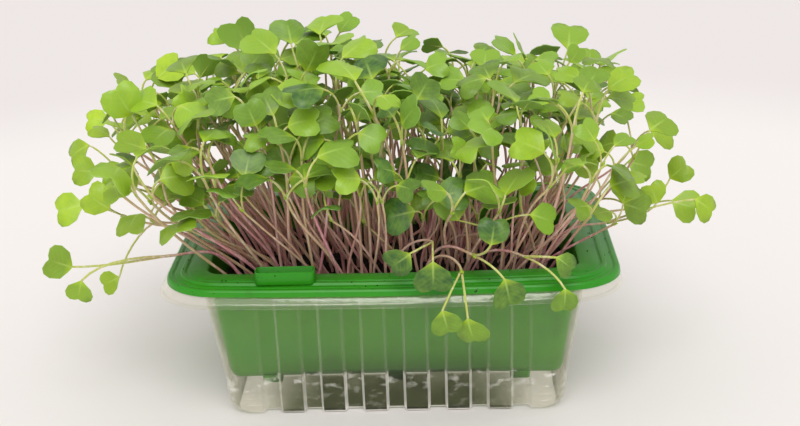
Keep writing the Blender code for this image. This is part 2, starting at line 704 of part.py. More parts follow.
def lay_out():
    """Plant the strays first, then the rest in twos; returns the roots and each clump's seedlings."""
    roots = clump_roots()
    planting = Planting()
    clumps = {place: [] for place in roots}
    jobs = [((entry[0], entry[1]), entry[2:]) for entry in STRAYS]
    for place in sorted(roots, key=lambda spot: (spot[1], spot[0])):
        strays_here = sum(1 for entry in STRAYS if (entry[0], entry[1]) == place)
        jobs += [(place, None)] * (2 - strays_here)
    for index, (place, entry) in enumerate(jobs):
        x, y = roots[place]
        first = not clumps[place]
        for attempt in range(ATTEMPTS):
            draw = random.Random(LAYOUT_SEED + 7919 * index + 104729 * attempt)
            way = 0.6 + 0.31 * index + (0.0 if first else math.pi)
            step = Vector((0.85 * math.cos(way), 0.85 * math.sin(way), 0.0))
            if entry:
                candidate = stray_seedling(x, y, step, entry, draw)
            else:
                candidate = grown_seedling(x, y, step, draw)
            if planting.accepts(candidate, place):
                clumps[place].append(candidate)
                break
    return roots, clumps


def main():
    clear_scene()
    clear_plastic = plain_material("clear_pet", (0.86, 0.88, 0.88), 0.08, 0.9)
    green_plastic = plain_material("green_plastic", (0.05, 0.42, 0.04), 0.3)
    soil_crumb = plain_material("soil", (0.035, 0.026, 0.02), 0.95)
    leaf_green = plain_material("seedling", (0.20, 0.46, 0.06), 0.45)
    tray = bpy.data.objects.new("tray", None)
    bpy.context.scene.collection.objects.link(tray)

    roots, clumps = lay_out()
    planted = [place for place in sorted(clumps, key=lambda spot: (spot[1], spot[0])) if clumps[place]]
    finish(build_container(clear_plastic), tray, sharp_angle=35)
    finish(build_insert(green_plastic), tray, sharp_angle=35)
    finish(build_soil([roots[place] for place in planted], soil_crumb), tray, sharp_angle=35)
    for number, place in enumerate(planted, start=1):
        points, faces = clump_mesh(clumps[place])
        clump = mesh_object(f"seedlings_{number:02d}", points, list(triangles(faces)), leaf_green)
        finish(clump, tray, sharp_angle=75)


main()
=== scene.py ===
"""Looks of the radish microgreens tray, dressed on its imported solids.

A clear thermoformed punnet holds a green plastic insert, filled with potting soil and planted with radish
seedlings. The seedlings' places follow the same rule as the solids do, worked out in millimetres, and the
fine pieces are bent from a few unit shapes that are modelled once. Meshes are made in metres.
"""
import math
import random
from functools import partial

import bmesh
import bpy
import numpy as np
from bpy.props import FloatProperty, FloatVectorProperty, IntProperty, PointerProperty
from mathutils import Matrix, Vector
from mathutils.bvhtree import BVHTree


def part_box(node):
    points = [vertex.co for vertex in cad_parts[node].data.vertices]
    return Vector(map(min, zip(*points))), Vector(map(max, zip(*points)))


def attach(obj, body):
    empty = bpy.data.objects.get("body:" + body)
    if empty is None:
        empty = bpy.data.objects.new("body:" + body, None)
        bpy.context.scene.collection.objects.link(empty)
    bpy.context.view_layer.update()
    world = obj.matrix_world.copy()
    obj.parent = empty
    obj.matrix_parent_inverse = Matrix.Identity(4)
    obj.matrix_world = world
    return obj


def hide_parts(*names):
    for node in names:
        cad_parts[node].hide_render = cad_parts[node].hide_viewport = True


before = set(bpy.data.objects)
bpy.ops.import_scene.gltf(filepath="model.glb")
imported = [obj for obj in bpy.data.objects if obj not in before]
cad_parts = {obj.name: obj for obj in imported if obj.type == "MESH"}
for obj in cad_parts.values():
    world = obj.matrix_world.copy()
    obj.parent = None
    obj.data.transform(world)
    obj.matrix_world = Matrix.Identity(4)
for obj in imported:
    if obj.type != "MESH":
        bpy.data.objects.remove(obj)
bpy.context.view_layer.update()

bl_info = {
    "name": "Radish microgreens tray",
    "version": (1, 0, 0),
    "blender": (4, 5, 0),
    "location": "3D View > Sidebar > Microgreens",
    "description": "Clear punnet, green insert, potting soil and radish seedlings on a pale table",
    "category": "Add Mesh",
}

MM = 0.001

# The tray's driving dimensions, in millimetres, the same as the solids'.
RIM_LENGTH = 190.0          # green rim, along X
RIM_DEPTH = 135.0           # green rim, along Y, at its corners
RIM_BOW = 4.3               # how far the long sides bulge at their middle
RIM_CORNER = 21.6           # radius of the rim's corners
RIM_WIDTH = 17.4            # from the outer lip in to the opening
LIP_Z = 61.0                # underside of the green lip
SHEET = 0.7                 # wall of the green insert
GAP = 0.3                   # clearance where two pieces meet
BAND_Z = LIP_Z + 3.7        # top of the rim's raised inner band
BOSS_SIZE = Vector((24.6, 7.6, 5.4))    # open block on the front of the rim
BOSS_X = -43.5
BOSS_INWARD = 7.5           # its middle, in from the rim's straight front

CONTAINER_BASE_X = 71.0     # half length of the punnet's footprint
CONTAINER_BASE_Y = 52.6     # half depth of the punnet's footprint
FLANGE_SHIFT = -1.2         # the thin flange has sprung this far to the left
WALL_SLOPE = 0.15           # how far each wall leans out for each millimetre of height
FLUTE_DEPTH = 3.2           # how far the flutes of the long sides are pressed in
FLUTE_PITCH = 17.7
FLUTE_FLOOR = 6.4           # flat bottom of a flute
FLANK = 1.0                 # width of a flute's sloping side
LONG_FLUTES = 7

INSERT_FLOOR_Z = 14.8       # underside of the insert's floor
INSERT_BASE_X = 72.0        # half length of the insert's floor
INSERT_BASE_Y = 46.4        # half depth of the insert's floor
FLOOR_ROUND = 3.0           # round between the insert's floor and its walls
FOOT_PITCH = 53.1
FOOT_WIDTH = 8.6
FOOT_DROP = 2.2             # how far the feet reach below the floor

SOIL_Z = 50.0               # mean level of the soil
SOIL_SINK = 6.0             # how deep the roots go

# The planting rule's values, in millimetres, the same as the solids'.
CLUMP_COLUMNS = 9
CLUMP_ROWS = 6
CLUMP_FIELD_X = 63.0        # half length of the planted field
CLUMP_FIELD_Y = 41.0        # half depth of the planted field
LAYOUT_SEED = 4107
STEM_RADIUS = 1.1
PETIOLE_RADIUS = 0.8
BLADE_THICKNESS = 0.8
BLADE_WIDTH = 14.6          # of a middling seed leaf
SMALLEST_BLADE = 10.5
LARGEST_BLADE = 19.0
BLADE_LENGTH_RATIO = 0.74   # length of a blade for each millimetre of its width
WALL_MARGIN = 2.4           # how far seedlings stay from the insert's wall
RIM_MARGIN = 3.5            # and from the rim's outer edge, where they hang
HANG_Z = 12.0               # how low they may hang
UNDERSIDE = Vector((0, 0, 1.3))         # from a stem's middle down to its underside
CLEARANCE = 0.35            # how much each shape is swollen for the tests
ATTEMPTS = 90               # a seedling that touches something is drawn again, up to this often
SEEDLING_STEP = 7919        # what each seedling and each attempt adds to the seed
ATTEMPT_STEP = 104729
BLADE_HALF = ((0.30, 0.20), (0.50, 0.62), (0.30, 1.0))      # half the blade's outline: (across, along)
BLADE_NOTCH = 0.78          # where its notch and the middle of its rib lie, as shares of its length
BLADE_MIDRIB = 0.40
STEM_STOPS = (0.0, 0.3, 0.64)           # where the plain stem and stalk have a ring, as shares of each
PETIOLE_STOPS = (0.5, 1.0)


# ---- Modelling helpers ----

def add_primitive(operator, name, **settings):
    """Add a primitive on its own and open it in edit mode, with its place in its mesh."""
    bpy.ops.object.select_all(action="DESELECT")
    operator(**settings)
    piece = bpy.context.object
    piece.name = piece.data.name = name
    bpy.ops.object.transform_apply(location=True, rotation=True, scale=True)
    bpy.ops.object.mode_set(mode="EDIT")
    bpy.ops.mesh.select_mode(type="VERT")
    bpy.ops.mesh.select_all(action="SELECT")
    return piece


def select_where(piece, test):
    """In edit mode, select only the vertices whose place, in millimetres, passes the test."""
    bpy.ops.mesh.select_all(action="DESELECT")
    work = bmesh.from_edit_mesh(piece.data)
    for vertex in work.verts:
        vertex.select = test(vertex.co / MM)
    work.select_flush(True)
    bmesh.update_edit_mesh(piece.data)


def move_selected(piece, rule):
    """In edit mode, send each selected vertex to the place that the rule gives for it, in millimetres."""
    work = bmesh.from_edit_mesh(piece.data)
    for vertex in work.verts:
        if vertex.select:
            vertex.co = rule(vertex.co / MM) * MM
    bmesh.update_edit_mesh(piece.data)


def cut_across(places, normal):
    """In edit mode, cut the whole mesh by planes square to the normal, at places in millimetres."""
    for place in places:
        bpy.ops.mesh.select_all(action="SELECT")
        bpy.ops.mesh.bisect(plane_co=Vector(normal) * place * MM, plane_no=normal)


def lift_outline(piece, size, z):
    """Extrude the selection to height z, in millimetres, and scale it by size about the middle."""
    work = bmesh.from_edit_mesh(piece.data)
    level = max(vertex.co.z for vertex in work.verts if vertex.select)
    bpy.ops.mesh.extrude_region_move(TRANSFORM_OT_translate={"value": (0, 0, z * MM - level)})
    bpy.ops.transform.resize(value=(*size, 1), center_override=(0, 0, z * MM))


def face_outwards():
    """In edit mode, turn all the faces to point out of the piece."""
    bpy.ops.mesh.select_all(action="SELECT")
    bpy.ops.mesh.normals_make_consistent(inside=False)


def soft_edges(width, angle=30):
    """Settings of a Bevel that rounds the bends sharper than an angle, in millimetres and degrees."""
    return {"width": width * MM, "segments": 2, "limit_method": "ANGLE", "angle_limit": math.radians(angle)}


def finish_piece(piece, smooth_angle, **modifiers):
    """Leave edit mode and apply the modifiers, given as type=settings, in their order.

    Bends up to smooth_angle, in degrees, are shaded smooth.
    """
    bpy.ops.object.mode_set(mode="OBJECT")
    for kind, settings in modifiers.items():
        modifier = piece.modifiers.new(kind.lower(), kind)
        for name, value in settings.items():
            setattr(modifier, name, value)
        bpy.ops.object.modifier_apply(modifier=modifier.name)
    bpy.ops.object.shade_smooth_by_angle(angle=math.radians(smooth_angle))
    return piece


def select_only(piece, *others):
    """Select these pieces and nothing else, with the first one active."""
    bpy.ops.object.select_all(action="DESELECT")
    for each in (piece, *others):
        each.select_set(True)
    bpy.context.view_layer.objects.active = piece


def join_pieces(piece, *others):
    """Make the others part of the piece's own mesh."""
    select_only(piece, *others)
    bpy.ops.object.join()
    return piece


def round_box(name, size, middle, corner):
    """A block with round upright corners, in millimetres, left in edit mode with its top selected."""
    box = add_primitive(bpy.ops.mesh.primitive_cube_add, name, size=MM, location=Vector(middle) * MM,
                        scale=size)
    work = bmesh.from_edit_mesh(box.data)
    for edge in work.edges:
        edge.select = abs((edge.verts[0].co - edge.verts[1].co).z) > 0.5 * size[2] * MM
    bmesh.update_edit_mesh(box.data)
    bpy.ops.mesh.select_mode(type="EDGE")
    bpy.ops.mesh.bevel(offset=corner * MM, segments=4, affect="EDGES")
    bpy.ops.mesh.select_mode(type="VERT")
    select_where(box, lambda place: place.z > middle[2])
    return box


def side_stations(count, pitch, floor, flank):
    """Where a side's relief begins and ends: (place along the side, how deep there, 0 or 1)."""
    stations = []
    for index in range(count):
        middle = (index - (count - 1) / 2) * pitch
        stations += [(middle - floor / 2 - flank, 0), (middle - floor / 2, 1),
                     (middle + floor / 2, 1), (middle + floor / 2 + flank, 0)]
    return stations


def raised_at(stations, x):
    """Whether a place along a side is one where its relief is raised."""
    return any(raised and abs(x - place) < 0.05 for place, raised in stations)


def arc_point(start, early, late, end, t):
    """A point of a Bezier arc from start (t = 0) to end (t = 1)."""
    return start * (1 - t) ** 3 + early * (3 * t * (1 - t) ** 2) + late * (3 * t * t * (1 - t)) + end * t ** 3


def outward(place, distance):
    """The way out of the nearer long side, times a distance that may be negative."""
    return Vector((0, distance if place.y > 0 else -distance, 0))


def bowed(place, bow, half_x):
    """A place with the bulge of the long sides added, or taken away where bow is negative."""
    return place + outward(place, bow * (1 - (place.x / half_x) ** 2))


# ---- Material helpers ----

def linear(code):
    """An sRGB hex colour as linear RGBA."""
    shares = [int(code[k:k + 2], 16) / 255 for k in (1, 3, 5)]
    return (*(c / 12.92 if c <= 0.04045 else ((c + 0.055) / 1.055) ** 2.4 for c in shares), 1.0)


def add_node(tree, kind, inputs, output=0, **settings):
    """Add a shader node with its settings and return one of its outputs.

    inputs maps each socket to a value, or to another node's output that is linked to it.
    """
    node = tree.nodes.new("ShaderNode" + kind)
    for name, value in settings.items():
        setattr(node, name, value)
    for name, value in inputs.items():
        if isinstance(value, bpy.types.NodeSocket):
            tree.links.new(value, node.inputs[name])
        else:
            node.inputs[name].default_value = value
    return node.outputs[output] if node.outputs else None


def start_material(name):
    """An empty node material, and add_node for its tree."""
    material = bpy.data.materials.new(name)
    material.use_nodes = True
    material.node_tree.nodes.clear()
    return material, partial(add_node, material.node_tree)


def blobs(node, size_mm, detail=3.0, stretch=(1, 1, 1)):
    """Soft random patches of a real size, fixed to the piece."""
    place = node("TexCoord", {}, "Object")
    sized = node("Mapping", {"Vector": place, "Scale": Vector(stretch) / (size_mm * MM)})
    return node("TexNoise", {"Vector": sized, "Scale": 1.0, "Detail": detail})


# ---- Materials ----

def clear_pet_sheet(settings):
    """Thermoformed clear PET: see-through faces, and bends and edges that shine white, partly painted
    highlight.
    """
    material, node = start_material("thermoformed_clear_pet")
    # Stretching leaves the sheet a little uneven, so its highlights waver.
    waves = blobs(node, 5.0, 2.0, (1, 1, 0.5))
    waver = node("Bump", {"Strength": 0.35, "Distance": 0.4 * MM, "Height": waves})
    slant = node("LayerWeight", {"Blend": 0.5, "Normal": waver}, "Facing")
    mirror = node("Math", {0: slant, 1: 4.0}, operation="POWER")
    # Below the insert the long sides carry painted shade for the shadow under the insert, most of all in the
    # standing ribs and deeper low down, and the bends beside each flute and along the foot carry painted
    # highlight lines.
    place = node("SeparateXYZ", {0: node("TexCoord", {}, "Object")}).node.outputs
    aside, back = (node("Math", {0: place[k]}, operation="ABSOLUTE") for k in range(2))
    low = node("MapRange", {0: place[2], 1: (INSERT_FLOOR_Z + 5.0) * MM, 2: (INSERT_FLOOR_Z + 3.5) * MM})
    last_rib = LONG_FLUTES // 2 * FLUTE_PITCH + 4.0
    between = node("MapRange", {0: aside, 1: last_rib * MM, 2: 30.0 * MM, 4: 1.4})
    side_y = CONTAINER_BASE_Y - FLUTE_DEPTH - 1.0
    long_side = node("Math", {0: back, 1: side_y * MM}, operation="GREATER_THAN")
    below = node("Math", {0: low, 1: node("Math", {0: between, 1: long_side}, operation="MULTIPLY")},
                 operation="MULTIPLY")
    from_flute = node("Math", {0: place[0], 1: FLUTE_PITCH / 2 * MM}, operation="PINGPONG")
    rib = node("MapRange", {0: from_flute, 1: (FLUTE_FLOOR / 2 + 0.2) * MM, 2: (FLUTE_FLOOR / 2 + 1.6) * MM,
                            3: 0.8, 4: 1.05})
    deeper = node("MapRange", {0: place[2], 1: (INSERT_FLOOR_Z + 4.0) * MM, 2: 5.0 * MM, 3: 0.62, 4: 1.05})
    uneven = node("MapRange", {0: blobs(node, 11.0, 2.0, (1, 1, 0.6)), 1: 0.3, 2: 0.65, 3: 0.8})
    shaded = node("Math", {0: node("Math", {0: rib, 1: below}, operation="MULTIPLY"), 1: uneven},
                  operation="MULTIPLY")
    shaded = node("Math", {0: shaded, 1: deeper}, operation="MULTIPLY", use_clamp=True)
    tint = node("Mix", {0: shaded, 6: settings.sheet_color, 7: settings.rib_color}, 2, data_type="RGBA")
    bend_x = FLUTE_FLOOR / 2 + FLANK / 2
    bend = node("Math", {0: from_flute, 1: bend_x * MM, 2: 0.55 * MM}, operation="COMPARE")
    foot = node("Math", {0: place[2], 1: 1.3 * MM}, operation="LESS_THAN")
    # Painted highlight lines at the bends beside each flute and along the foot.
    edged = node("Math", {0: bend, 1: foot}, operation="MAXIMUM")
    lit = node("Math", {0: edged, 1: below}, operation="MULTIPLY")
    # Over the green wall the long sides shine a little less; lower down run wisps of painted highlight.
    over_wall = node("Math", {0: long_side, 1: node("Math", {0: 1.0, 1: low}, operation="SUBTRACT")},
                     operation="MULTIPLY")
    strength = node("MapRange", {0: over_wall, 3: 0.9, 4: 0.8})
    shine = node("Math", {0: mirror, 1: strength, 2: settings.face_haze}, operation="MULTIPLY_ADD")
    high = node("MapRange", {0: place[2], 1: 7.0 * MM, 2: (INSERT_FLOOR_Z + 1.0) * MM, 3: 0.25})
    wisps = node("MapRange", {0: blobs(node, 6.0, 4.0, (1, 1, 1.6)), 1: 0.54, 2: 0.72, 4: 0.5})
    wisps = node("Math", {0: wisps, 1: node("Math", {0: low, 1: high}, operation="MULTIPLY"), 2: shine},
                 operation="MULTIPLY_ADD")
    # The step under the flange, seen edge on, gets a band of painted sheen.
    step = node("Math", {0: place[2], 1: (LIP_Z - 2.2) * MM, 2: 1.5 * MM}, operation="COMPARE")
    milky = node("Math", {0: step, 1: 0.06, 2: wisps}, operation="MULTIPLY_ADD")
    cover = node("Math", {0: lit, 1: 0.5, 2: milky}, operation="MULTIPLY_ADD", use_clamp=True)
    body = node("BsdfPrincipled", {"Base Color": settings.haze_color, "Metallic": 0.4, "Roughness": 0.09,
                                   "IOR": 1.57, "Normal": waver})
    through = node("BsdfTransparent", {"Color": tint})
    node("OutputMaterial", {"Surface": node("MixShader", {0: cover, 1: through, 2: body})})
    return material


def green_polystyrene(settings):
    """Thermoformed green polystyrene: glossy, with a little light inside it and soil dust on its rim."""
    material, node = start_material("thermoformed_green_polystyrene")
    height = node("SeparateXYZ", {0: node("TexCoord", {}, "Object")}).node.outputs[2]
    # The wall is backed by dark soil, so it has a colour of its own, and it is darker towards the bottom.
    on_rim = node("MapRange", {0: height, 1: (LIP_Z - 4.0) * MM, 2: (LIP_Z + 0.5) * MM})
    low = node("MapRange", {0: height, 1: (LIP_Z - 8.0) * MM, 2: INSERT_FLOOR_Z * MM})
    wall = node("Mix", {0: low, 6: settings.base_color, 7: settings.wall_color}, 2, data_type="RGBA")
    plain = node("Mix", {0: on_rim, 6: wall, 7: settings.rim_color}, 2, data_type="RGBA")
    clouds = node("MapRange", {0: blobs(node, 22.0), 1: 0.35, 2: 0.75, 4: 0.35})
    cloudy = node("Mix", {0: clouds, 6: plain, 7: settings.shade_color}, 2, data_type="RGBA")
    dust = node("MapRange", {0: blobs(node, 9.0, 4.0), 1: 0.58, 2: 0.80, 4: 0.3})
    dusty = node("Mix", {0: dust, 6: cloudy, 7: settings.dust_color}, 2, data_type="RGBA")
    specks = node("MapRange", {0: blobs(node, 1.3, 1.0), 1: 0.735, 2: 0.765})
    spotted = node("Mix", {0: specks, 6: dusty, 7: settings.speck_color}, 2, data_type="RGBA")
    ripple = node("Bump", {"Strength": 0.12, "Distance": 0.3 * MM, "Height": blobs(node, 3.0, 2.0)})
    shine = node("MapRange", {0: dust, 2: 0.3, 3: 0.3, 4: 0.5})
    body = node("BsdfPrincipled", {
        "Base Color": spotted, "Roughness": shine, "IOR": 1.59, "Specular IOR Level": 0.22, "Normal": ripple,
        "Subsurface Weight": 0.12, "Subsurface Radius": (0.5, 1.0, 0.3), "Subsurface Scale": 1.5 * MM})
    node("OutputMaterial", {"Surface": body})
    return material


def damp_potting_soil(settings):
    """Damp peat: nearly black, rough, with browner dry crumbs and a few pale fibres."""
    material, node = start_material("damp_potting_soil")
    crumbs = blobs(node, 2.2, 6.0)
    dry = node("MapRange", {0: crumbs, 1: 0.45, 2: 0.68})
    brown = node("Mix", {0: dry, 6: settings.color, 7: settings.dry_color}, 2, data_type="RGBA")
    fibres = node("MapRange", {0: blobs(node, 1.1, 2.0, (1, 0.12, 1)), 1: 0.70, 2: 0.76, 4: 0.6})
    mixed = node("Mix", {0: fibres, 6: brown, 7: settings.fibre_color}, 2, data_type="RGBA")
    rough = node("Bump", {"Strength": 0.9, "Distance": 0.8 * MM, "Height": crumbs})
    node("OutputMaterial", {"Surface": node("BsdfPrincipled", {
        "Base Color": mixed, "Roughness": 0.92, "IOR": 1.4, "Normal": rough})})
    return material


def radish_seed_leaf(settings):
    """Living leaf: waxy on top with faint sunk veins, matt and paler below, with light inside it."""
    material, node = start_material("radish_seed_leaf")
    # blade is the place in the leaf: across, along and how near its margin; tint is the green share with
    # painted shade, then under, then yellowing with painted light.
    blade = node("SeparateXYZ", {0: node("Attribute", {}, "Vector", attribute_name="blade")}).node.outputs
    tint = node("SeparateXYZ", {0: node("Attribute", {}, "Vector", attribute_name="tint")}).node.outputs
    aside = node("Math", {0: blade[0]}, operation="ABSOLUTE")

    # Side veins leave the midrib forwards and fade before the margin; the midrib fades before the notch.
    order = node("Math", {0: aside, 1: -0.9, 2: blade[1]}, operation="MULTIPLY_ADD")
    counted = node("Math", {0: order, 1: settings.vein_count}, operation="MULTIPLY")
    repeated = node("Math", {0: counted, 1: 0.5}, operation="PINGPONG")
    side_vein = node("MapRange", {0: repeated, 1: 0.16, 2: 0.03, 4: 0.07}, interpolation_type="SMOOTHSTEP")
    inner = node("MapRange", {0: blade[2], 1: 0.95, 2: 0.35})
    side_vein = node("Math", {0: side_vein, 1: inner}, operation="MULTIPLY")
    midrib = node("MapRange", {0: aside, 1: 0.045, 2: 0.008, 4: 0.4}, interpolation_type="SMOOTHSTEP")
    fading = node("MapRange", {0: blade[1], 1: 0.85, 2: 0.35})
    midrib = node("Math", {0: midrib, 1: fading}, operation="MULTIPLY")
    vein = node("Math", {0: midrib, 1: side_vein}, operation="MAXIMUM")

    mottle = blobs(node, 3.5, 3.0)
    # Deep green is partly painted shade on leaves low in the canopy.
    green = node("Mix", {0: tint[0], 6: settings.deep_color, 7: settings.leaf_color}, 2, data_type="RGBA")
    # Bright yellow is partly painted light on leaves at the tray's ends; near the stalk it is the blade's own
    # yellow.
    green = node("Mix", {0: tint[2], 6: green, 7: settings.bright_color}, 2, data_type="RGBA")
    patches = node("MapRange", {0: mottle, 1: 0.35, 2: 0.75, 4: 0.5})
    green = node("Mix", {0: patches, 6: green, 7: settings.leaf_color}, 2, data_type="RGBA")
    # The blade is yellower where it runs into its stalk.
    throat = node("MapRange", {0: blade[1], 1: 0.30, 2: 0.0, 4: 0.7})
    green = node("Mix", {0: throat, 6: green, 7: settings.bright_color}, 2, data_type="RGBA")
    veined = node("Mix", {0: vein, 6: green, 7: settings.vein_color}, 2, data_type="RGBA")
    matt = node("Math", {0: tint[1], 1: 0.45}, operation="MULTIPLY")
    color = node("Mix", {0: matt, 6: veined, 7: settings.underside_color}, 2, data_type="RGBA")

    relief = node("Math", {0: mottle, 1: 0.8, 2: node("Math", {0: vein, 1: -1.0}, operation="MULTIPLY")},
                  operation="MULTIPLY_ADD")
    gloss = node("MapRange", {0: tint[1], 3: 0.42, 4: 0.6})
    body = node("BsdfPrincipled", {
        "Base Color": color, "Roughness": gloss, "IOR": 1.42, "Specular IOR Level": 0.7,
        "Normal": node("Bump", {"Strength": 0.5, "Distance": 0.25 * MM, "Height": relief}),
        "Subsurface Weight": 0.22, "Subsurface Radius": (0.6, 1.0, 0.1), "Subsurface Scale": 0.9 * MM})
    node("OutputMaterial", {"Surface": body})
    return material


def radish_stem(settings):
    """Watery stem: pinkish tan with purple flushes and paler streaks, and yellow-green up the leaf stalks."""
    material, node = start_material("radish_stem")
    blade = node("SeparateXYZ", {0: node("Attribute", {}, "Vector", attribute_name="blade")}).node.outputs
    tint = node("SeparateXYZ", {0: node("Attribute", {}, "Vector", attribute_name="tint")}).node.outputs
    # Along a seedling this runs from 0 at the soil to 1 at the node and 2 at the leaf.
    along = blade[1]
    olive = node("Math", {0: tint[0], 1: 0.75}, operation="MULTIPLY")
    color = node("Mix", {0: olive, 6: settings.stem_color, 7: settings.olive_color}, 2, data_type="RGBA")
    flush = node("Math", {0: tint[2], 1: 0.7}, operation="MULTIPLY")
    color = node("Mix", {0: flush, 6: color, 7: settings.flush_color}, 2, data_type="RGBA")
    # Near the soil the stem turns pinker, and darker as painted shade among the stems.
    at_foot = node("MapRange", {0: along, 1: 0.35, 2: 0.0, 4: 0.7})
    color = node("Mix", {0: at_foot, 6: color, 7: settings.foot_color}, 2, data_type="RGBA")
    up_stalk = node("MapRange", {0: along, 1: 0.75, 2: 1.25, 4: 0.95})
    color = node("Mix", {0: up_stalk, 6: color, 7: settings.stalk_color}, 2, data_type="RGBA")
    streaks = blobs(node, 1.6, 3.0, (1, 1, 0.12))
    pale = node("MapRange", {0: streaks, 1: 0.48, 2: 0.72, 4: 0.6})
    color = node("Mix", {0: pale, 6: color, 7: settings.pale_color}, 2, data_type="RGBA")
    body = node("BsdfPrincipled", {
        "Base Color": color, "Roughness": 0.36, "IOR": 1.4,
        "Normal": node("Bump", {"Strength": 0.2, "Distance": 0.1 * MM, "Height": streaks}),
        "Subsurface Weight": 0.2, "Subsurface Radius": (1.0, 0.6, 0.4), "Subsurface Scale": 0.7 * MM})
    node("OutputMaterial", {"Surface": body})
    return material


def painted_pale_board(settings):
    """Painted board: matt off-white, a touch brighter round the tray than far off, with a faint grain."""
    material, node = start_material("painted_pale_board")
    away = node("VectorMath", {0: node("TexCoord", {}, "Object")}, "Value", operation="LENGTH")
    far = node("MapRange", {0: away, 1: 0.42, 2: 0.62}, interpolation_type="SMOOTHSTEP")
    color = node("Mix", {0: far, 6: settings.table_color, 7: settings.distance_color}, 2, data_type="RGBA")
    grain = node("Bump", {"Strength": 0.05, "Distance": 0.2 * MM, "Height": blobs(node, 1.5)})
    node("OutputMaterial", {"Surface": node("BsdfPrincipled", {
        "Base Color": color, "Roughness": 0.6, "IOR": 1.45, "Normal": grain})})
    return material


# ---- The planting rule, the same as the solids' ----

def wall_size(z):
    """Half length and half depth of the green insert's wall at a height, and how far it bows there."""
    rise = (z - INSERT_FLOOR_Z) / (BAND_Z - INSERT_FLOOR_Z)
    half_x = INSERT_BASE_X + (RIM_LENGTH / 2 - RIM_WIDTH - INSERT_BASE_X) * rise
    half_y = INSERT_BASE_Y + (RIM_DEPTH / 2 - RIM_WIDTH - INSERT_BASE_Y) * rise
    return half_x, half_y, RIM_BOW * rise


def soil_level(x, y):
    """Height of the soil's crumbly surface, highest at the left."""
    return SOIL_Z - 0.02 * x + 1.1 * math.sin(x / 13.0 + 0.6) + 0.9 * math.cos(y / 11.0 + x / 29.0)


class Leaf:
    """A seed leaf's place: its base, the way its midrib points, the way its upper face looks."""

    def __init__(self, base, tip, face, width, arch, curl):
        self.base = base
        self.tip = tip.normalized()
        self.face = (face - face.project(self.tip)).normalized()
        self.width = width
        self.arch = arch
        self.curl = curl

    def point(self, across, along, height=0.0):
        """A point of the blade; across and along are shares of its width and length."""
        side = self.tip.cross(self.face)
        edge = 2 * abs(across)
        sag = self.arch * edge ** 1.6 * (0.4 + 0.6 * along) + self.curl * along ** 2
        length = self.width * BLADE_LENGTH_RATIO
        return (self.base + self.tip * (along * length) + side * (across * self.width)
                + self.face * (height - sag * self.width))


class Seedling:
    """A stem from its root hole to its node, and its two leaves."""

    def __init__(self, root, collar, node, rise, arrival, leaves):
        self.root = root
        self.collar = collar
        self.node = node
        self.rise = rise
        self.arrival = arrival.normalized()
        self.leaves = leaves

    def stem_point(self, t):
        """The hypocotyl's curve from the soil (t = 0) to the node (t = 1)."""
        reach = (self.node - self.collar).length
        late = self.node - self.arrival * (0.38 * reach)
        return arc_point(self.collar, self.collar + self.rise, late, self.node, t)

    def stem_direction(self, t):
        """The way the stem points there."""
        step = 0.01
        return (self.stem_point(min(t + step, 1.0)) - self.stem_point(max(t - step, 0.0))).normalized()

    def pair_axis(self):
        """Across the node, from the second leaf to the first, square to the stem."""
        spread = self.leaves[0].base - self.leaves[1].base
        return (spread - spread.project(self.arrival)).normalized()

    def petiole_point(self, leaf, t):
        """The leaf stalk's curve from the node (t = 0) to the leaf's base (t = 1)."""
        bend = self.node + self.arrival * (0.55 * (leaf.base - self.node).length)
        bend = bend * 0.5 + (leaf.base - leaf.tip * (0.3 * (leaf.base - self.node).length)) * 0.5
        return self.node * (1 - t) ** 2 + bend * (2 * t * (1 - t)) + leaf.base * t ** 2


def add_ring(points, middle, along, forward, radius):
    """Three points round a stem; the first lies towards forward."""
    forward = (forward - forward.project(along)).normalized()
    across = forward.cross(along)
    start = len(points)
    points.append(middle + forward * radius)
    points.append(middle - across * (0.87 * radius) - forward * (0.5 * radius))
    points.append(middle + across * (0.87 * radius) - forward * (0.5 * radius))
    return (start, start + 1, start + 2)


def bridge(points, lower, upper):
    """Faces between two rings of three, turned to meet at their nearest points."""
    def twist(turn):
        return sum((points[lower[k]] - points[upper[(k + turn) % 3]]).length_squared for k in range(3))

    turn = min(range(3), key=twist)
    faces = []
    for k in range(3):
        following = (k + 1) % 3
        faces.append((lower[k], lower[following], upper[(following + turn) % 3], upper[(k + turn) % 3]))
    return faces


def add_fork(points, ring, middle, front, axis, radius):
    """Close a ring of three into four points, split between two branches along axis and against it.

    Returns the faces, and a ring of three for each branch.
    """
    fore, left, back, right = range(len(points), len(points) + 4)
    for way in (front, -axis, -front, axis):
        points.append(middle + way * radius)
    faces = [(ring[0], ring[1], left, fore), (ring[2], ring[0], fore, right),
             (ring[1], ring[2], right, back, left)]
    return faces, (right, fore, back), (left, back, fore)


def stem_and_leaves(points, seedling, swell):
    """The solids' plain shape, for the tests; returns the faces of the stem, in parts, and of each leaf."""
    axis = seedling.pair_axis()
    front = seedling.arrival.cross(axis).normalized()
    radius = STEM_RADIUS + swell
    rings = [add_ring(points, seedling.stem_point(t), seedling.stem_direction(t), front, radius)
             for t in STEM_STOPS]
    stem = [bridge(points, lower, upper) for lower, upper in zip(rings, rings[1:])]
    fork, right, left = add_fork(points, rings[-1], seedling.node, front, axis, radius)
    stem.append(fork)
    blades = [leaf_faces(points, seedling, leaf, branch, swell)
              for leaf, branch in zip(seedling.leaves, (right, left))]
    return stem, blades


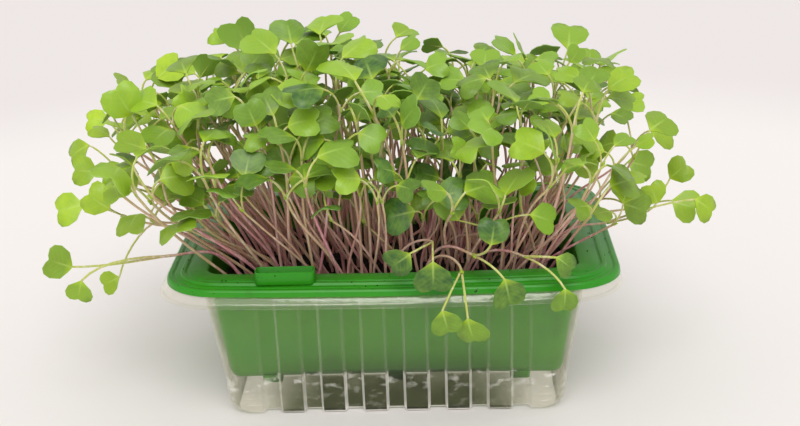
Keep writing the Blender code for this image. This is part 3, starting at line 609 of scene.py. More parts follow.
def leaf_faces(points, seedling, leaf, branch, swell):
    """Add one petiole and its blade from a branch of the fork; returns their faces."""
    faces = []
    outward = (points[branch[0]] - seedling.node).normalized()
    previous = branch
    for t in PETIOLE_STOPS:
        middle = seedling.petiole_point(leaf, t)
        along = (middle - seedling.petiole_point(leaf, t - 0.1)).normalized()
        under = outward * (1 - t) - leaf.face * t
        current = add_ring(points, middle, along, under, PETIOLE_RADIUS + swell)
        faces += bridge(points, previous, current)
        previous = current
    previous = (previous[2], previous[1], previous[0])

    half = BLADE_THICKNESS / 2 + swell
    grow = 1 + 2 * swell / leaf.width
    right = [(across * grow, along) for across, along in BLADE_HALF]
    left = [(-across, along) for across, along in right]
    outline = right + [(0.0, BLADE_NOTCH)] + left[::-1]
    sheets = []
    for height in (half, -half):
        start = len(points)
        points.extend(leaf.point(across, along, height) for across, along in outline + [(0.0, BLADE_MIDRIB)])
        sheets.append([start + k for k in range(len(outline) + 1)])
    for (r1, r2, r3, notch, l3, l2, l1, rib), ends in zip(sheets, (previous[:2], previous[2:] * 2)):
        faces += [(ends[0], r1, rib), (r1, r2, rib), (r2, notch, rib), (r2, r3, notch),
                  (ends[1], rib, l1), (l1, rib, l2), (l2, rib, notch), (l2, notch, l3)]
    faces.append((previous[0], sheets[0][7], previous[1]))
    upper, lower = sheets
    for k in range(6):
        faces.append((upper[k], lower[k], lower[k + 1], upper[k + 1]))
    faces.append((previous[0], previous[2], lower[0], upper[0]))
    faces.append((previous[1], upper[6], lower[6], previous[2]))
    return faces


def triangles(faces):
    """The faces, cut into fans of triangles."""
    for face in faces:
        for k in range(1, len(face) - 1):
            yield (face[0], face[k], face[k + 1])


class Planting:
    """Keeps each new seedling clear of the tray, the soil and all the seedlings before it."""

    def __init__(self):
        self.standing = []

    @staticmethod
    def clears_tray(point):
        """Whether a point lies above the soil and the rim, or hangs outside the tray clear of the table."""
        x, y, z = point
        half_x, half_y, bow = wall_size(min(z, BAND_Z))
        half_y += bow * (1 - (x / half_x) ** 2)
        if abs(x) < half_x - WALL_MARGIN and abs(y) < half_y - WALL_MARGIN:
            return z > soil_level(x, y) + 0.5
        if abs(x) > RIM_LENGTH / 2 + RIM_MARGIN or abs(y) > RIM_DEPTH / 2 + RIM_BOW + RIM_MARGIN:
            return z > HANG_Z
        over_boss = abs(x - BOSS_X) < BOSS_SIZE.x / 2 + RIM_MARGIN and y < RIM_WIDTH - RIM_DEPTH / 2
        return z > BAND_Z + (BOSS_SIZE.z + 2.0 if over_boss else 1.0)

    def trees(self, seedling, swell):
        """Swollen shapes for the tests: the foot of the stem, its upper part, and each leaf."""
        points = []
        stem, blades = stem_and_leaves(points, seedling, swell)
        parts = [BVHTree.FromPolygons(points, list(triangles(faces)))
                 for faces in (stem[0], stem[1] + stem[2], *blades)]
        low = Vector([min(p[k] for p in points) for k in range(3)])
        high = Vector([max(p[k] for p in points) for k in range(3)])
        return parts, low, high

    def accepts(self, seedling, clump, swell=CLEARANCE):
        """Whether a seedling stands clear of everything; if it does, it is kept for the later tests."""
        for leaf in seedling.leaves:
            outline = [leaf.point(*spot) for spot in BLADE_HALF]
            outline += [leaf.point(-across, along) for across, along in BLADE_HALF]
            petiole = [seedling.petiole_point(leaf, t) for t in (0.3, 0.6, 0.9)]
            if not all(self.clears_tray(p - Vector((0, 0, 1))) for p in outline + petiole):
                return False
        stops = [seedling.stem_point(t) for t in STEM_STOPS] + [seedling.node]
        stem = [seedling.stem_point(t / 16) for t in range(1, 17)]
        stem += [a.lerp(b, k / 5) for a, b in zip(stops, stops[1:]) for k in range(1, 6)]
        if not all(self.clears_tray(p) and self.clears_tray(p - UNDERSIDE) for p in stem if p.z > BAND_Z - 6):
            return False
        if not all(self.clears_tray(p) for p in stem):
            return False
        parts, low, high = self.trees(seedling, swell)
        if parts[2].overlap(parts[3]):
            return False
        for others, other_low, other_high, other_clump in self.standing:
            if any(low[k] > other_high[k] or high[k] < other_low[k] for k in range(3)):
                continue
            same_root = other_clump == clump
            for first, part in enumerate(parts):
                for second, other in enumerate(others):
                    if not (same_root and first == second == 0) and part.overlap(other):
                        return False
        self.standing.append((parts, low, high, clump))
        return True


def heading(azimuth, elevation):
    """The unit vector at an angle from +X round the tray, and an angle up from the level."""
    return Vector((math.cos(azimuth) * math.cos(elevation), math.sin(azimuth) * math.cos(elevation),
                   math.sin(elevation)))


SOIL_HALF_X, SOIL_HALF_Y = 70.0, 46.0   # half sizes of the soil that seedlings stand on
LEAN_LEFT, LEAN_RIGHT = 36.0, 27.0      # how far the nodes of those at its ends lean out, on average
LEAN_ALONG_Y = 18.0         # and of those at its front and back
FAR_LEAN = 1.25             # a quarter of them lean further by this share, and reach less high
CANOPY_X, CANOPY_Y = 110.0, 70.0        # half sizes of the canopy
CROWN = 74.0                # its height over the rim's lip, at its middle
CROWN_DROP_X, CROWN_DROP_Y = 13.0, 5.0  # how much lower it is at its edges
HOLLOW_X = (2.0, 38.0)      # it dips between these two places


def planted(root_x, root_y, step):
    """Where a seedling's root ends, and its collar just over the soil."""
    root = Vector((root_x, root_y, soil_level(root_x, root_y) - SOIL_SINK))
    return root, root + step + Vector((0, 0, SOIL_SINK + 0.6))


def grown_seedling(root_x, root_y, step, draw):
    """A seedling by rule: it leans out from the middle of the tray and spreads its leaves to the light."""
    u = root_x / SOIL_HALF_X
    v = root_y / SOIL_HALF_Y
    lean = 1.0 if draw.random() < 0.75 else FAR_LEAN
    x = root_x + lean * (LEAN_LEFT if u < 0 else LEAN_RIGHT) * u * abs(u) ** 0.4 + draw.gauss(-4.0, 10.0)
    y = root_y + lean * LEAN_ALONG_Y * v + draw.gauss(-2.0, 8.0)
    hollow = 10.0 if HOLLOW_X[0] < x < HOLLOW_X[1] else 3.0 if x > HOLLOW_X[1] else 0.0
    crown = CROWN - CROWN_DROP_X * (x / CANOPY_X) ** 2 - CROWN_DROP_Y * (y / CANOPY_Y) ** 2 - hollow
    # Nodes stand lowest at the front, where the canopy hangs over the rim.
    reach = 0.72 if v < -0.5 else 0.58 if v < 0.0 else 0.42
    z = LIP_Z + crown * (1 - reach * draw.random() ** 1.15) - 8.0 * (lean > 1.0)
    root, collar = planted(root_x, root_y, step)
    node = Vector((x, y, z))
    tall = z - soil_level(root_x, root_y)
    rise = Vector((draw.gauss(0.25 * (x - root_x), 7.0), draw.gauss(0.25 * (y - root_y), 6.0), 0.34 * tall))
    arrival = Vector((0.8 * (x - root_x) + draw.gauss(0, 17), 0.8 * (y - root_y) + draw.gauss(0, 13), tall))
    axis = draw.gauss(0.0, 0.9) + (math.pi if draw.random() < 0.5 else 0.0)
    leaves = []
    for turn in (0.0, math.pi):
        azimuth = axis + turn + draw.gauss(0, 0.3)
        length = draw.uniform(6.0, 13.0)
        climb = draw.uniform(0.55, 1.2)
        base = node + (heading(azimuth, climb) + arrival.normalized() * 0.35) * length
        tip = heading(azimuth + draw.gauss(0, 0.3), climb - draw.uniform(0.0, 0.85))
        face = Vector((draw.gauss(0.25 * u, 0.35), -0.30 + 0.25 * v + draw.gauss(0, 0.42), 1.0))
        width = min(max(draw.gauss(BLADE_WIDTH, 2.6), SMALLEST_BLADE), LARGEST_BLADE)
        leaves.append(Leaf(base, tip, face, width, draw.uniform(0.02, 0.34), draw.uniform(0.0, 0.34)))
    return Seedling(root, collar, node, rise, arrival, leaves)


# Seedlings that lean out of the tray: (clump column, row, node, rise, arrival), then for each of the two
# leaves (base, angle of the midrib seen from the front in degrees from +X, how many degrees its face
# looks up, width).
STRAYS = (
    (0, 0, (-96, -42, 70), (-9, 0, 24), (-1.0, 0.0, -0.05),
     ((-136, -42, 66), 150, 15, 15), ((-131, -48, 62), 255, 20, 12)),
    (0, 1, (-109, -27, 74), (-14, 0, 28), (-1.0, 0.1, 0.25),
     ((-134, -38, 50), 240, 20, 14), ((-112, -33, 63), 265, 25, 11)),
    (0, 2, (-107, -12, 73), (-14, 0, 30), (-1.0, 0.1, 0.2),
     ((-123, -20, 50), 200, 30, 11), ((-103, -20, 84), 60, 30, 11)),
    (0, 1, (-116, -20, 79), (-16, 0, 32), (-0.9, 0.0, 0.4),
     ((-121, -29, 86), 140, 20, 15), ((-136, -14, 83), 185, 35, 16)),
    (0, 3, (-120, -2, 92), (-18, 0, 36), (-0.8, 0.0, 0.6),
     ((-129, -12, 97), 170, 20, 14), ((-136, 6, 104), 200, 35, 14)),
    (0, 2, (-101, -26, 92), (-12, 0, 34), (-0.6, -0.1, 0.7),
     ((-106, -34, 97), 135, 20, 15), ((-113, -20, 100), 175, 40, 13)),
    (8, 1, (94, -24, 72), (12, 0, 26), (1.0, 0.0, 0.1),
     ((131, -28, 83), 330, 25, 13), ((116, -22, 80), 110, 40, 12)),
    (8, 2, (108, -8, 74), (16, 0, 28), (1.0, 0.0, 0.2),
     ((120, -16, 79), 345, 20, 15), ((122, 4, 83), 50, 30, 13)),
    (8, 1, (86, -14, 80), (10, 0, 30), (0.9, 0.0, 0.4),
     ((98, -28, 83), 345, 10, 14), ((101, -16, 98), 350, 25, 14)),
    (8, 3, (107, 8, 98), (14, 0, 40), (0.5, 0.0, 0.8),
     ((114, 2, 107), 355, 55, 14), ((104, 22, 114), 20, 60, 13)),
    (4, 0, (17, -66, 80), (2, -6, 30), (0.0, -0.8, 0.2),
     ((17, -81, 77), 270, 8, 16), ((8, -79, 80), 215, 20, 13)),
    (5, 0, (29, -72, 73), (3, -8, 26), (0.1, -1.0, -0.1),
     ((21, -85, 61), 285, 15, 13), ((31, -84, 57), 280, 15, 14)),
    (5, 0, (33, -68, 77), (4, -7, 30), (0.4, -0.9, 0.1),
     ((45, -80, 71), 285, 15, 15), ((40, -78, 85), 80, 25, 13)),
    (6, 0, (54, -64, 75), (4, -6, 27), (0.4, -0.9, 0.1),
     ((69, -80, 67), 270, 15, 12), ((66, -74, 78), 330, 35, 11)),
    (5, 1, (40, -50, 80), (4, -4, 30), (0.5, -0.6, 0.6),
     ((56, -62, 90), 345, 45, 14), ((27, -58, 87), 110, 25, 14)),
    (4, 1, (14, -52, 84), (0, -5, 30), (0.0, -0.6, 0.8),
     ((11, -62, 91), 185, 30, 16), ((20, -62, 96), 30, 40, 15)),
)


def stray_seedling(root_x, root_y, step, entry, draw):
    """A seedling from its entry in STRAYS, with its place shaken a little."""
    node, rise, arrival, *leaf_entries = entry
    shake = Vector((draw.gauss(0, 1.0), draw.gauss(0, 2.5), draw.gauss(0, 1.0)))
    node = Vector(node) + shake
    root, collar = planted(root_x, root_y, step)
    leaves = []
    for base, angle, lift, width in leaf_entries:
        tilt = math.radians(lift)
        tip = heading(math.radians(angle), 0)
        tip = Vector((tip.x, -0.25 + draw.gauss(0, 0.08), tip.y))
        face = Vector((draw.gauss(0, 0.3), -math.cos(tilt), math.sin(tilt)))
        leaves.append(Leaf(Vector(base) + shake, tip, face, width, draw.uniform(0.08, 0.3),
                           draw.uniform(0.05, 0.26)))
    return Seedling(root, collar, node, Vector(rise), Vector(arrival), leaves)


def clump_roots():
    """Where the clumps stand: a grid with every other row shifted, each place drawn a little aside."""
    draw = random.Random(LAYOUT_SEED)
    roots = {}
    for row in range(CLUMP_ROWS):
        for column in range(CLUMP_COLUMNS):
            x = CLUMP_FIELD_X * (2 * column / (CLUMP_COLUMNS - 1) - 1) * 0.94 + (3.0 if row % 2 else -3.0)
            y = CLUMP_FIELD_Y * (2 * row / (CLUMP_ROWS - 1) - 1)
            roots[(column, row)] = (x + draw.uniform(-2.0, 2.0), y + draw.uniform(-1.8, 1.8))
    return roots


def lay_out(planting):
    """Plant the strays first, then the rest in twos; returns the roots and each clump's seedlings."""
    roots = clump_roots()
    clumps = {place: [] for place in roots}
    jobs = [((entry[0], entry[1]), entry[2:]) for entry in STRAYS]
    for place in sorted(roots, key=lambda spot: (spot[1], spot[0])):
        strays_here = sum(1 for entry in STRAYS if (entry[0], entry[1]) == place)
        jobs += [(place, None)] * (2 - strays_here)
    for index, (place, entry) in enumerate(jobs):
        x, y = roots[place]
        first = not clumps[place]
        for attempt in range(ATTEMPTS):
            draw = random.Random(LAYOUT_SEED + SEEDLING_STEP * index + ATTEMPT_STEP * attempt)
            way = 0.6 + 0.31 * index + (0.0 if first else math.pi)
            step = Vector((0.85 * math.cos(way), 0.85 * math.sin(way), 0.0))
            if entry:
                candidate = stray_seedling(x, y, step, entry, draw)
            else:
                candidate = grown_seedling(x, y, step, draw)
            if planting.accepts(candidate, place):
                clumps[place].append(candidate)
                break
    return roots, clumps


# ---- The tray ----

CREASE_ANGLE = 35.0         # bends of the green plastic are shaded smooth up to this, in degrees
RIM_PROFILE = (             # (inward from the outer lip, height) of the green rim's upper side
    (0.0, 61.0), (0.25, 62.9), (0.9, 63.7), (2.5, 63.7), (2.9, 63.3), (3.5, 63.3), (3.9, 63.7), (5.7, 63.7),
    (6.3, 64.7), (7.8, 64.7), (8.2, 64.2), (9.0, 64.2), (9.4, 64.7), (16.8, 64.7), (17.4, 64.3))
WALL_RINGS = (62.6, 60.8, 40.0)     # heights of the rings of points round the insert's wall
BUTTRESS_TOP = WALL_RINGS[1]        # where a buttress is widest
BUTTRESS_FLARE = 0.95       # how much wider it is there than at its foot, as a share
BUTTRESS_DEPTH = 1.4        # how far it stands out of the wall at its foot
BUTTRESS_FADE = 0.4         # how much of that is gone at the rim
LONG_WALL_Y = (35.0, 60.0)  # the long walls lie between these distances from the middle
FOOT_DEPTH = 6.4            # size of a foot across the tray
FOOT_ROUND = 1.2            # round of a foot's upright corners, and how far it reaches into the floor
BOSS_ROUND = 2.2            # round of the block's upright corners
BOSS_STEP = 0.5             # flat top of the wall round the block's pocket
BOSS_WALL = 1.3             # that wall in all, at the pocket's floor
POCKET_DEPTH = 4.4
FEET = side_stations(3, FOOT_PITCH, FOOT_WIDTH, 0.95)
FLUTES = side_stations(LONG_FLUTES, FLUTE_PITCH, FLUTE_FLOOR, FLANK)
FLANGE_PROFILE = (          # (outward from the green lip, height) of the punnet's flange
    (1.5, 56.4), (1.0, 56.9), (-0.3, 57.0), (-0.8, 57.5), (-1.8, 59.8), (-2.4, 60.1))
FLANGE_REACH = 1.8          # from the green lip out to the flange's edge
PUNNET_CREASE = 32.0        # bends of the clear sheet are shaded smooth up to this, in degrees
PUNNET_CORNER = 9.0         # radius of the punnet's corners at its foot
PUNNET_TUCK = 2.0           # how far its flat base lies in from its footprint
FOOT_RINGS = {0.5: 0.9, 1.6: 0.4}   # round of the punnet's foot: height, and how far in from its wall
SHOULDER = 1.2              # the flutes end this far under the flange
STEP_RINGS = (4.2, 7.6, 11.4)       # heights of the beads pressed round the punnet's short ends
BEAD_RISE = 0.7             # how far a bead stands out


def model_outline(name, half_x, half_y, corner, segments, stations):
    """A flat sheet at z = 0 with round corners, cut at the stations along its long sides; in edit mode."""
    sheet = add_primitive(bpy.ops.mesh.primitive_plane_add, name, size=MM)
    bpy.ops.transform.resize(value=(2 * half_x, 2 * half_y, 1))
    bpy.ops.mesh.bevel(offset=corner * MM, segments=segments, affect="VERTICES")
    cut_across([place for place, _ in stations], (1, 0, 0))
    bpy.ops.mesh.select_all(action="SELECT")
    return sheet


def on_long_wall(place):
    """Whether a place lies on a long wall, and on neither the floor nor the rim's outer part."""
    return LONG_WALL_Y[0] < abs(place.y) < LONG_WALL_Y[1]


def model_green_insert():
    """The insert as one sheet: rim rings inset from its outline, then the wall drawn down to the floor."""
    half_x, half_y = RIM_LENGTH / 2, RIM_DEPTH / 2
    insert = model_outline("green_tray", half_x, half_y, RIM_CORNER, 10, FEET)
    move_selected(insert, lambda p: bowed(p, RIM_BOW, half_x) + Vector((0, 0, RIM_PROFILE[0][1])))
    for (before, low), (inward, high) in zip(RIM_PROFILE, RIM_PROFILE[1:]):
        bpy.ops.mesh.inset(thickness=(inward - before) * MM, depth=(high - low) * MM, use_even_offset=True)

    # The wall leans in and loses its bow on the way down.
    top_x, top_y, top_z = half_x - RIM_WIDTH, half_y - RIM_WIDTH, RIM_PROFILE[-1][1]
    floor_x, floor_y = INSERT_BASE_X - SHEET, INSERT_BASE_Y - SHEET
    low_z = INSERT_FLOOR_Z + FLOOR_ROUND
    bow_left, size_x, size_y = RIM_BOW, top_x, top_y
    for z in (*WALL_RINGS, low_z):
        down = (top_z - z) / (top_z - low_z)
        next_x, next_y = top_x + (floor_x - top_x) * down, top_y + (floor_y - top_y) * down
        next_bow = RIM_BOW * (1 - down)
        lift_outline(insert, (next_x / size_x, 1), z)
        move_selected(insert, lambda p: bowed(p, next_bow - bow_left, next_x)
                      + outward(p, next_y - size_y) * (abs(p.y) > 0.6 * size_y))
        bow_left, size_x, size_y = next_bow, next_x, next_y
    bpy.ops.mesh.inset(thickness=0.9 * MM, depth=-2.0 * MM, use_even_offset=True)
    bpy.ops.mesh.inset(thickness=2.0 * MM, depth=-(FLOOR_ROUND - 2.0 - SHEET) * MM, use_even_offset=True)

    # Buttresses: pressed out of the long walls, narrow at the foot and fading out under the rim.
    def is_buttress(place):
        return raised_at(FEET, place.x) and place.z < BUTTRESS_TOP + 0.7 and on_long_wall(place)

    def press_out(place):
        rise = (place.z - low_z) / (top_z - low_z)
        return place + outward(place, BUTTRESS_DEPTH - BUTTRESS_FADE * max(rise, 0.0))

    def flare(place):
        middle = round(place.x / FOOT_PITCH) * FOOT_PITCH
        rise = max(0.0, min(1.0, (place.z - low_z) / (BUTTRESS_TOP - low_z)))
        return Vector((middle + (place.x - middle) * (1 + BUTTRESS_FLARE * rise), place.y, place.z))

    select_where(insert, is_buttress)
    move_selected(insert, press_out)
    select_where(insert, lambda p: p.z < WALL_RINGS[0] + 0.1 and on_long_wall(p)
                 and any(abs(p.x - spot) < 0.05 for spot, _ in FEET))
    move_selected(insert, flare)
    finish_piece(insert, CREASE_ANGLE, BEVEL=soft_edges(0.35, angle=14),
                 SOLIDIFY={"thickness": SHEET * MM, "offset": -1.0, "use_quality_normals": True})

    extras = []
    for side in (-1, 1):
        for place in (-FOOT_PITCH, 0.0, FOOT_PITCH):
            middle = (place, side * (INSERT_BASE_Y - 2.4), INSERT_FLOOR_Z - FOOT_DROP / 2 + 0.4)
            foot = round_box("foot", (FOOT_WIDTH, FOOT_DEPTH, FOOT_DROP + FOOT_ROUND), middle, FOOT_ROUND)
            extras.append(finish_piece(foot, CREASE_ANGLE, BEVEL=soft_edges(0.6)))
    extras.append(model_boss())
    return join_pieces(insert, *extras)


def model_boss():
    """The open block on the front of the rim: a wall all round a deep pocket."""
    middle = (BOSS_X, BOSS_INWARD - RIM_DEPTH / 2 - 0.5 * RIM_BOW, BAND_Z + 2.4)
    boss = round_box("boss", BOSS_SIZE, middle, BOSS_ROUND)
    bpy.ops.mesh.inset(thickness=BOSS_STEP * MM, depth=0.0)
    bpy.ops.mesh.inset(thickness=(BOSS_WALL - BOSS_STEP) * MM, depth=-POCKET_DEPTH * MM)
    return finish_piece(boss, CREASE_ANGLE, BEVEL=soft_edges(0.45))


def model_clear_punnet(settings):
    """The punnet as one sheet: a fluted body drawn up from its base, with its flange bridged on."""
    body_top = LIP_Z - GAP - 2.7
    half_x, half_y = RIM_LENGTH / 2 + FLANGE_REACH, RIM_DEPTH / 2 + FLANGE_REACH
    flange = model_outline("clear_punnet", half_x, half_y, RIM_CORNER + FLANGE_REACH, 10, FLUTES)
    move_selected(flange, lambda p: bowed(p, RIM_BOW, half_x)
                  + Vector((FLANGE_SHIFT, 0, FLANGE_PROFILE[0][1])))
    for (before, low), (out, high) in zip(FLANGE_PROFILE, FLANGE_PROFILE[1:]):
        bpy.ops.mesh.inset(thickness=(before - out) * MM, depth=(high - low) * MM, use_even_offset=True)
    bpy.ops.mesh.delete(type="FACE")
    bpy.ops.object.mode_set(mode="OBJECT")

    size = [CONTAINER_BASE_X - PUNNET_TUCK, CONTAINER_BASE_Y - PUNNET_TUCK]
    body = model_outline("body", *size, PUNNET_CORNER, 10, FLUTES)
    heights = [*FOOT_RINGS]
    for ring in STEP_RINGS:
        heights += [ring - 0.9, ring - 0.4, ring + 0.4, ring + 0.9]
    for z in heights + [body_top - SHOULDER, body_top]:
        inset = FOOT_RINGS.get(z, 0.0)
        next_size = [base + WALL_SLOPE * z - inset for base in (CONTAINER_BASE_X, CONTAINER_BASE_Y)]
        growth = [new / old for new, old in zip(next_size, size)]
        lift_outline(body, growth, z)
        # The walls lean out, but the flutes' edges stand upright.
        move_selected(body, lambda p: Vector((p.x / growth[0], p.y, p.z))
                      if abs(p.x / growth[0]) < FLUTES[-1][0] + 0.1 else p)
        size = next_size
    bpy.ops.mesh.delete(type="FACE")

    select_where(body, lambda p: raised_at(FLUTES, p.x) and abs(p.y) > LONG_WALL_Y[0]
                 and p.z < body_top - 0.5)
    move_selected(body, lambda p: p + outward(p, -FLUTE_DEPTH))
    for ring in STEP_RINGS:
        select_where(body, lambda p: abs(p.z - ring) < 0.5 and abs(p.x) > FLUTES[-1][0] + 1.0)
        bpy.ops.transform.shrink_fatten(value=BEAD_RISE * MM)
    bpy.ops.object.mode_set(mode="OBJECT")

    join_pieces(flange, body)
    bpy.ops.object.mode_set(mode="EDIT")
    bpy.ops.mesh.select_all(action="DESELECT")
    bpy.ops.mesh.select_mode(type="EDGE")
    work = bmesh.from_edit_mesh(flange.data)
    for edge in work.edges:
        middle = (edge.verts[0].co + edge.verts[1].co) / 2 / MM
        edge.select = edge.is_boundary and (abs(middle.z - body_top) < 0.1
                                            or abs(middle.z - FLANGE_PROFILE[-1][1]) < 0.1)
    bmesh.update_edit_mesh(flange.data)
    bpy.ops.mesh.bridge_edge_loops()
    bpy.ops.mesh.select_mode(type="VERT")
    face_outwards()
    finish_piece(flange, PUNNET_CREASE, BEVEL=soft_edges(0.55, angle=16),
                 SOLIDIFY={"thickness": settings.gauge, "offset": 1.0, "use_even_offset": True})
    # Its underside lies flat on the table.
    for vertex in flange.data.vertices:
        vertex.co.z = max(vertex.co.z, 0.0)
    return flange


# ---- The soil ----

SOIL_GRID = (130, 88)       # faces of its top along X and Y, about 1 mm each
SOIL_WAVES = 14             # waves that add up to its lumps
LUMP_HEIGHT = 2.6
EDGE_DROP = 1.2             # how much lower the soil lies along the wall
SOIL_CREASE = 60.0          # its bends are shaded smooth up to this, in degrees


def model_soil():
    """A closed block whose top is the planting rule's level, broken up into crumbs."""
    half_x, half_y, bow = wall_size(SOIL_Z)
    half_x, half_y = half_x - SHEET - 0.6, half_y - SHEET - 0.6
    soil = add_primitive(bpy.ops.mesh.primitive_grid_add, "potting_soil", size=MM,
                         x_subdivisions=SOIL_GRID[0], y_subdivisions=SOIL_GRID[1])
    draw = random.Random(LAYOUT_SEED)
    lumps = [(draw.uniform(0.25, 0.9), draw.uniform(-0.9, 0.9), draw.uniform(0, math.tau))
             for _ in range(SOIL_WAVES)]

    def crumbled(place):
        """Round off the block's corners and drop the surface between crumbs."""
        u, v = 2 * place.x, 2 * place.y
        x = u * half_x * math.sqrt(1 - 0.02 * v ** 8)
        y = v * (half_y + bow * (1 - u * u)) * math.sqrt(1 - 0.03 * u ** 12)
        rough = sum(math.sin(fx * x + fy * y + phase) for fx, fy, phase in lumps) / len(lumps)
        edge = max(abs(u), abs(v)) ** 14
        z = soil_level(x, y) + LUMP_HEIGHT * rough + draw.uniform(-0.45, 0.45) - EDGE_DROP * edge
        return Vector((x, y, z))

    move_selected(soil, crumbled)
    bpy.ops.mesh.select_all(action="SELECT")
    bpy.ops.mesh.extrude_region_move()
    floor = INSERT_FLOOR_Z + SHEET + GAP
    foot_x, foot_y = INSERT_BASE_X - FLOOR_ROUND - 1.5, INSERT_BASE_Y - FLOOR_ROUND - 1.5
    move_selected(soil, lambda p: Vector((p.x * foot_x / half_x, p.y * foot_y / (half_y + bow), floor)))
    face_outwards()
    return finish_piece(soil, SOIL_CREASE)


def model_crumb():
    """One crumb of soil, knocked out of round."""
    crumb = add_primitive(bpy.ops.mesh.primitive_ico_sphere_add, "crumb", subdivisions=1, radius=1.0)
    bpy.ops.transform.vertex_random(offset=0.45, seed=5)
    return take_unit(crumb)


# ---- Unit shapes of a seedling, each modelled once ----

# Right margin of the seed leaf, from its stalk round one lobe to the notch: Bezier arcs of (across, along).
LEAF_MARGIN = (((0.03, 0.0), (0.08, 0.13), (0.47, 0.20), (0.50, 0.60)),
               ((0.50, 0.60), (0.51, 0.84), (0.42, 1.03), (0.25, 1.03)),
               ((0.25, 1.03), (0.13, 1.03), (0.04, 0.98), (0.0, 0.93)))
MARGIN_STAGES = (0.0, 0.40, 0.75, 1.0)      # where each arc begins, as a share of the rows
LEAF_COLUMNS = 4
LEAF_ROWS = 7
STEM_SIDES, STEM_SEGMENTS = 6, 11
STALK_SIDES, STALK_SEGMENTS = 5, 9
STALK_END = 0.68            # share of the leaf stalk's tube before the blade; the rest is its rib


def take_unit(piece):
    """Read a finished unit shape's points and faces, and remove it."""
    bpy.ops.object.mode_set(mode="OBJECT")
    points = np.array([vertex.co for vertex in piece.data.vertices], dtype=float)
    faces = [tuple(face.vertices) for face in piece.data.polygons]
    bpy.data.objects.remove(piece, do_unlink=True)
    return points, faces


def margin_point(u):
    """The leaf's margin, from the stalk (u = 0) to the notch (u = 1)."""
    stage = max(k for k in range(3) if u >= MARGIN_STAGES[k])
    t = (u - MARGIN_STAGES[stage]) / (MARGIN_STAGES[stage + 1] - MARGIN_STAGES[stage])
    return arc_point(*(Vector(spot) for spot in LEAF_MARGIN[stage]), t)


def model_leaf():
    """The flat seed leaf: x across, y along, z through it, 1 thick."""
    leaf = add_primitive(bpy.ops.mesh.primitive_grid_add, "seed_leaf", size=1.0,
                         x_subdivisions=LEAF_COLUMNS, y_subdivisions=LEAF_ROWS)
    work = bmesh.from_edit_mesh(leaf.data)
    for vertex in work.verts:
        out, u = 2 * vertex.co.x, vertex.co.y + 0.5
        rim = margin_point(min(u, 1.0))
        share = abs(out) ** 1.25
        along = LEAF_MARGIN[-1][-1][1] * u ** 1.15 * (1 - share) + rim.y * share
        vertex.co = Vector((out * rim.x, along, 0.5 + 0.02 * abs(out)))
    bmesh.update_edit_mesh(leaf.data)
    bpy.ops.mesh.select_all(action="SELECT")
    bpy.ops.mesh.remove_doubles(threshold=0.002)
    bpy.ops.mesh.select_all(action="SELECT")
    bpy.ops.mesh.extrude_region_move(TRANSFORM_OT_translate={"value": (0, 0, -1.0)})
    face_outwards()
    return take_unit(leaf)


def model_tube(name, sides, segments):
    """A straight closed tube of radius 1, from z = 0 to z = 1."""
    tube = add_primitive(bpy.ops.mesh.primitive_circle_add, name, vertices=sides, radius=1.0,
                         fill_type="NGON")
    for _ in range(segments):
        bpy.ops.mesh.extrude_region_move(TRANSFORM_OT_translate={"value": (0, 0, 1 / segments)})
    face_outwards()
    return take_unit(tube)


def model_bud():
    """A folded first true leaf: a drop, 1 long, pointed and a little hooked."""
    bud = add_primitive(bpy.ops.mesh.primitive_ico_sphere_add, "bud", subdivisions=1, radius=0.5,
                        location=(0, 0, 0.5))
    bpy.ops.transform.resize(value=(0.42, 0.62, 1))
    select_where(bud, lambda place: place.z * MM > 0.6)
    bpy.ops.transform.resize(value=(0.6, 0.6, 1), center_override=(0, 0.1, 0.6))
    bpy.ops.transform.translate(value=(0, 0.16, 0.1))
    return take_unit(bud)


# ---- Bending the unit shapes to the seedlings ----

SPROUT_CREASE = 62.0        # bends of a seedling are shaded smooth up to this, in degrees
ROOT_GAUGE = 0.66           # radius of a fine stem in the soil, in millimetres
STEM_GAUGE = 0.64           # and at its surface
STEM_TAPER = 0.14           # how much thinner it is at the node
NODE_SWELL = 1.1            # how many times thicker it ends, at the node
STALK_GAUGE = 0.48
STALK_TAPER = 0.05
RIB_GAUGE = 0.43            # where the stalk runs on under the blade
CANOPY_TOP = 90.0           # of the highest leaves over the rim's lip


class Growth:
    """Gathers bent copies of the unit shapes into one mesh, with the attributes their materials read."""

    def __init__(self, name):
        self.name = name
        self.points, self.faces, self.slots, self.blade, self.tint = [], [], [], [], []
        self.count = 0

    def add(self, points, faces, slot, blade, tint):
        """Add one bent shape, in millimetres, with its material slot and attributes."""
        self.faces += [tuple(self.count + k for k in face) for face in faces]
        self.slots += [slot] * len(faces)
        self.count += len(points)
        self.points.append(points)
        self.blade.append(blade)
        self.tint.append(np.broadcast_to(tint, (len(points), 3)))

    def build(self, materials):
        """Make the mesh from what was gathered."""
        mesh = bpy.data.meshes.new(self.name)
        mesh.from_pydata((np.concatenate(self.points) * MM).tolist(), [], self.faces)
        mesh.polygons.foreach_set("material_index", self.slots)
        for name, rows in (("blade", self.blade), ("tint", self.tint)):
            values = np.concatenate(rows).astype(np.float32)
            mesh.attributes.new(name, "FLOAT_VECTOR", "POINT").data.foreach_set("vector", values.ravel())
        for material in materials:
            mesh.materials.append(material)
        piece = bpy.data.objects.new(self.name, mesh)
        bpy.context.scene.collection.objects.link(piece)
        select_only(piece)
        bpy.ops.object.shade_smooth_by_angle(angle=math.radians(SPROUT_CREASE))
        return piece


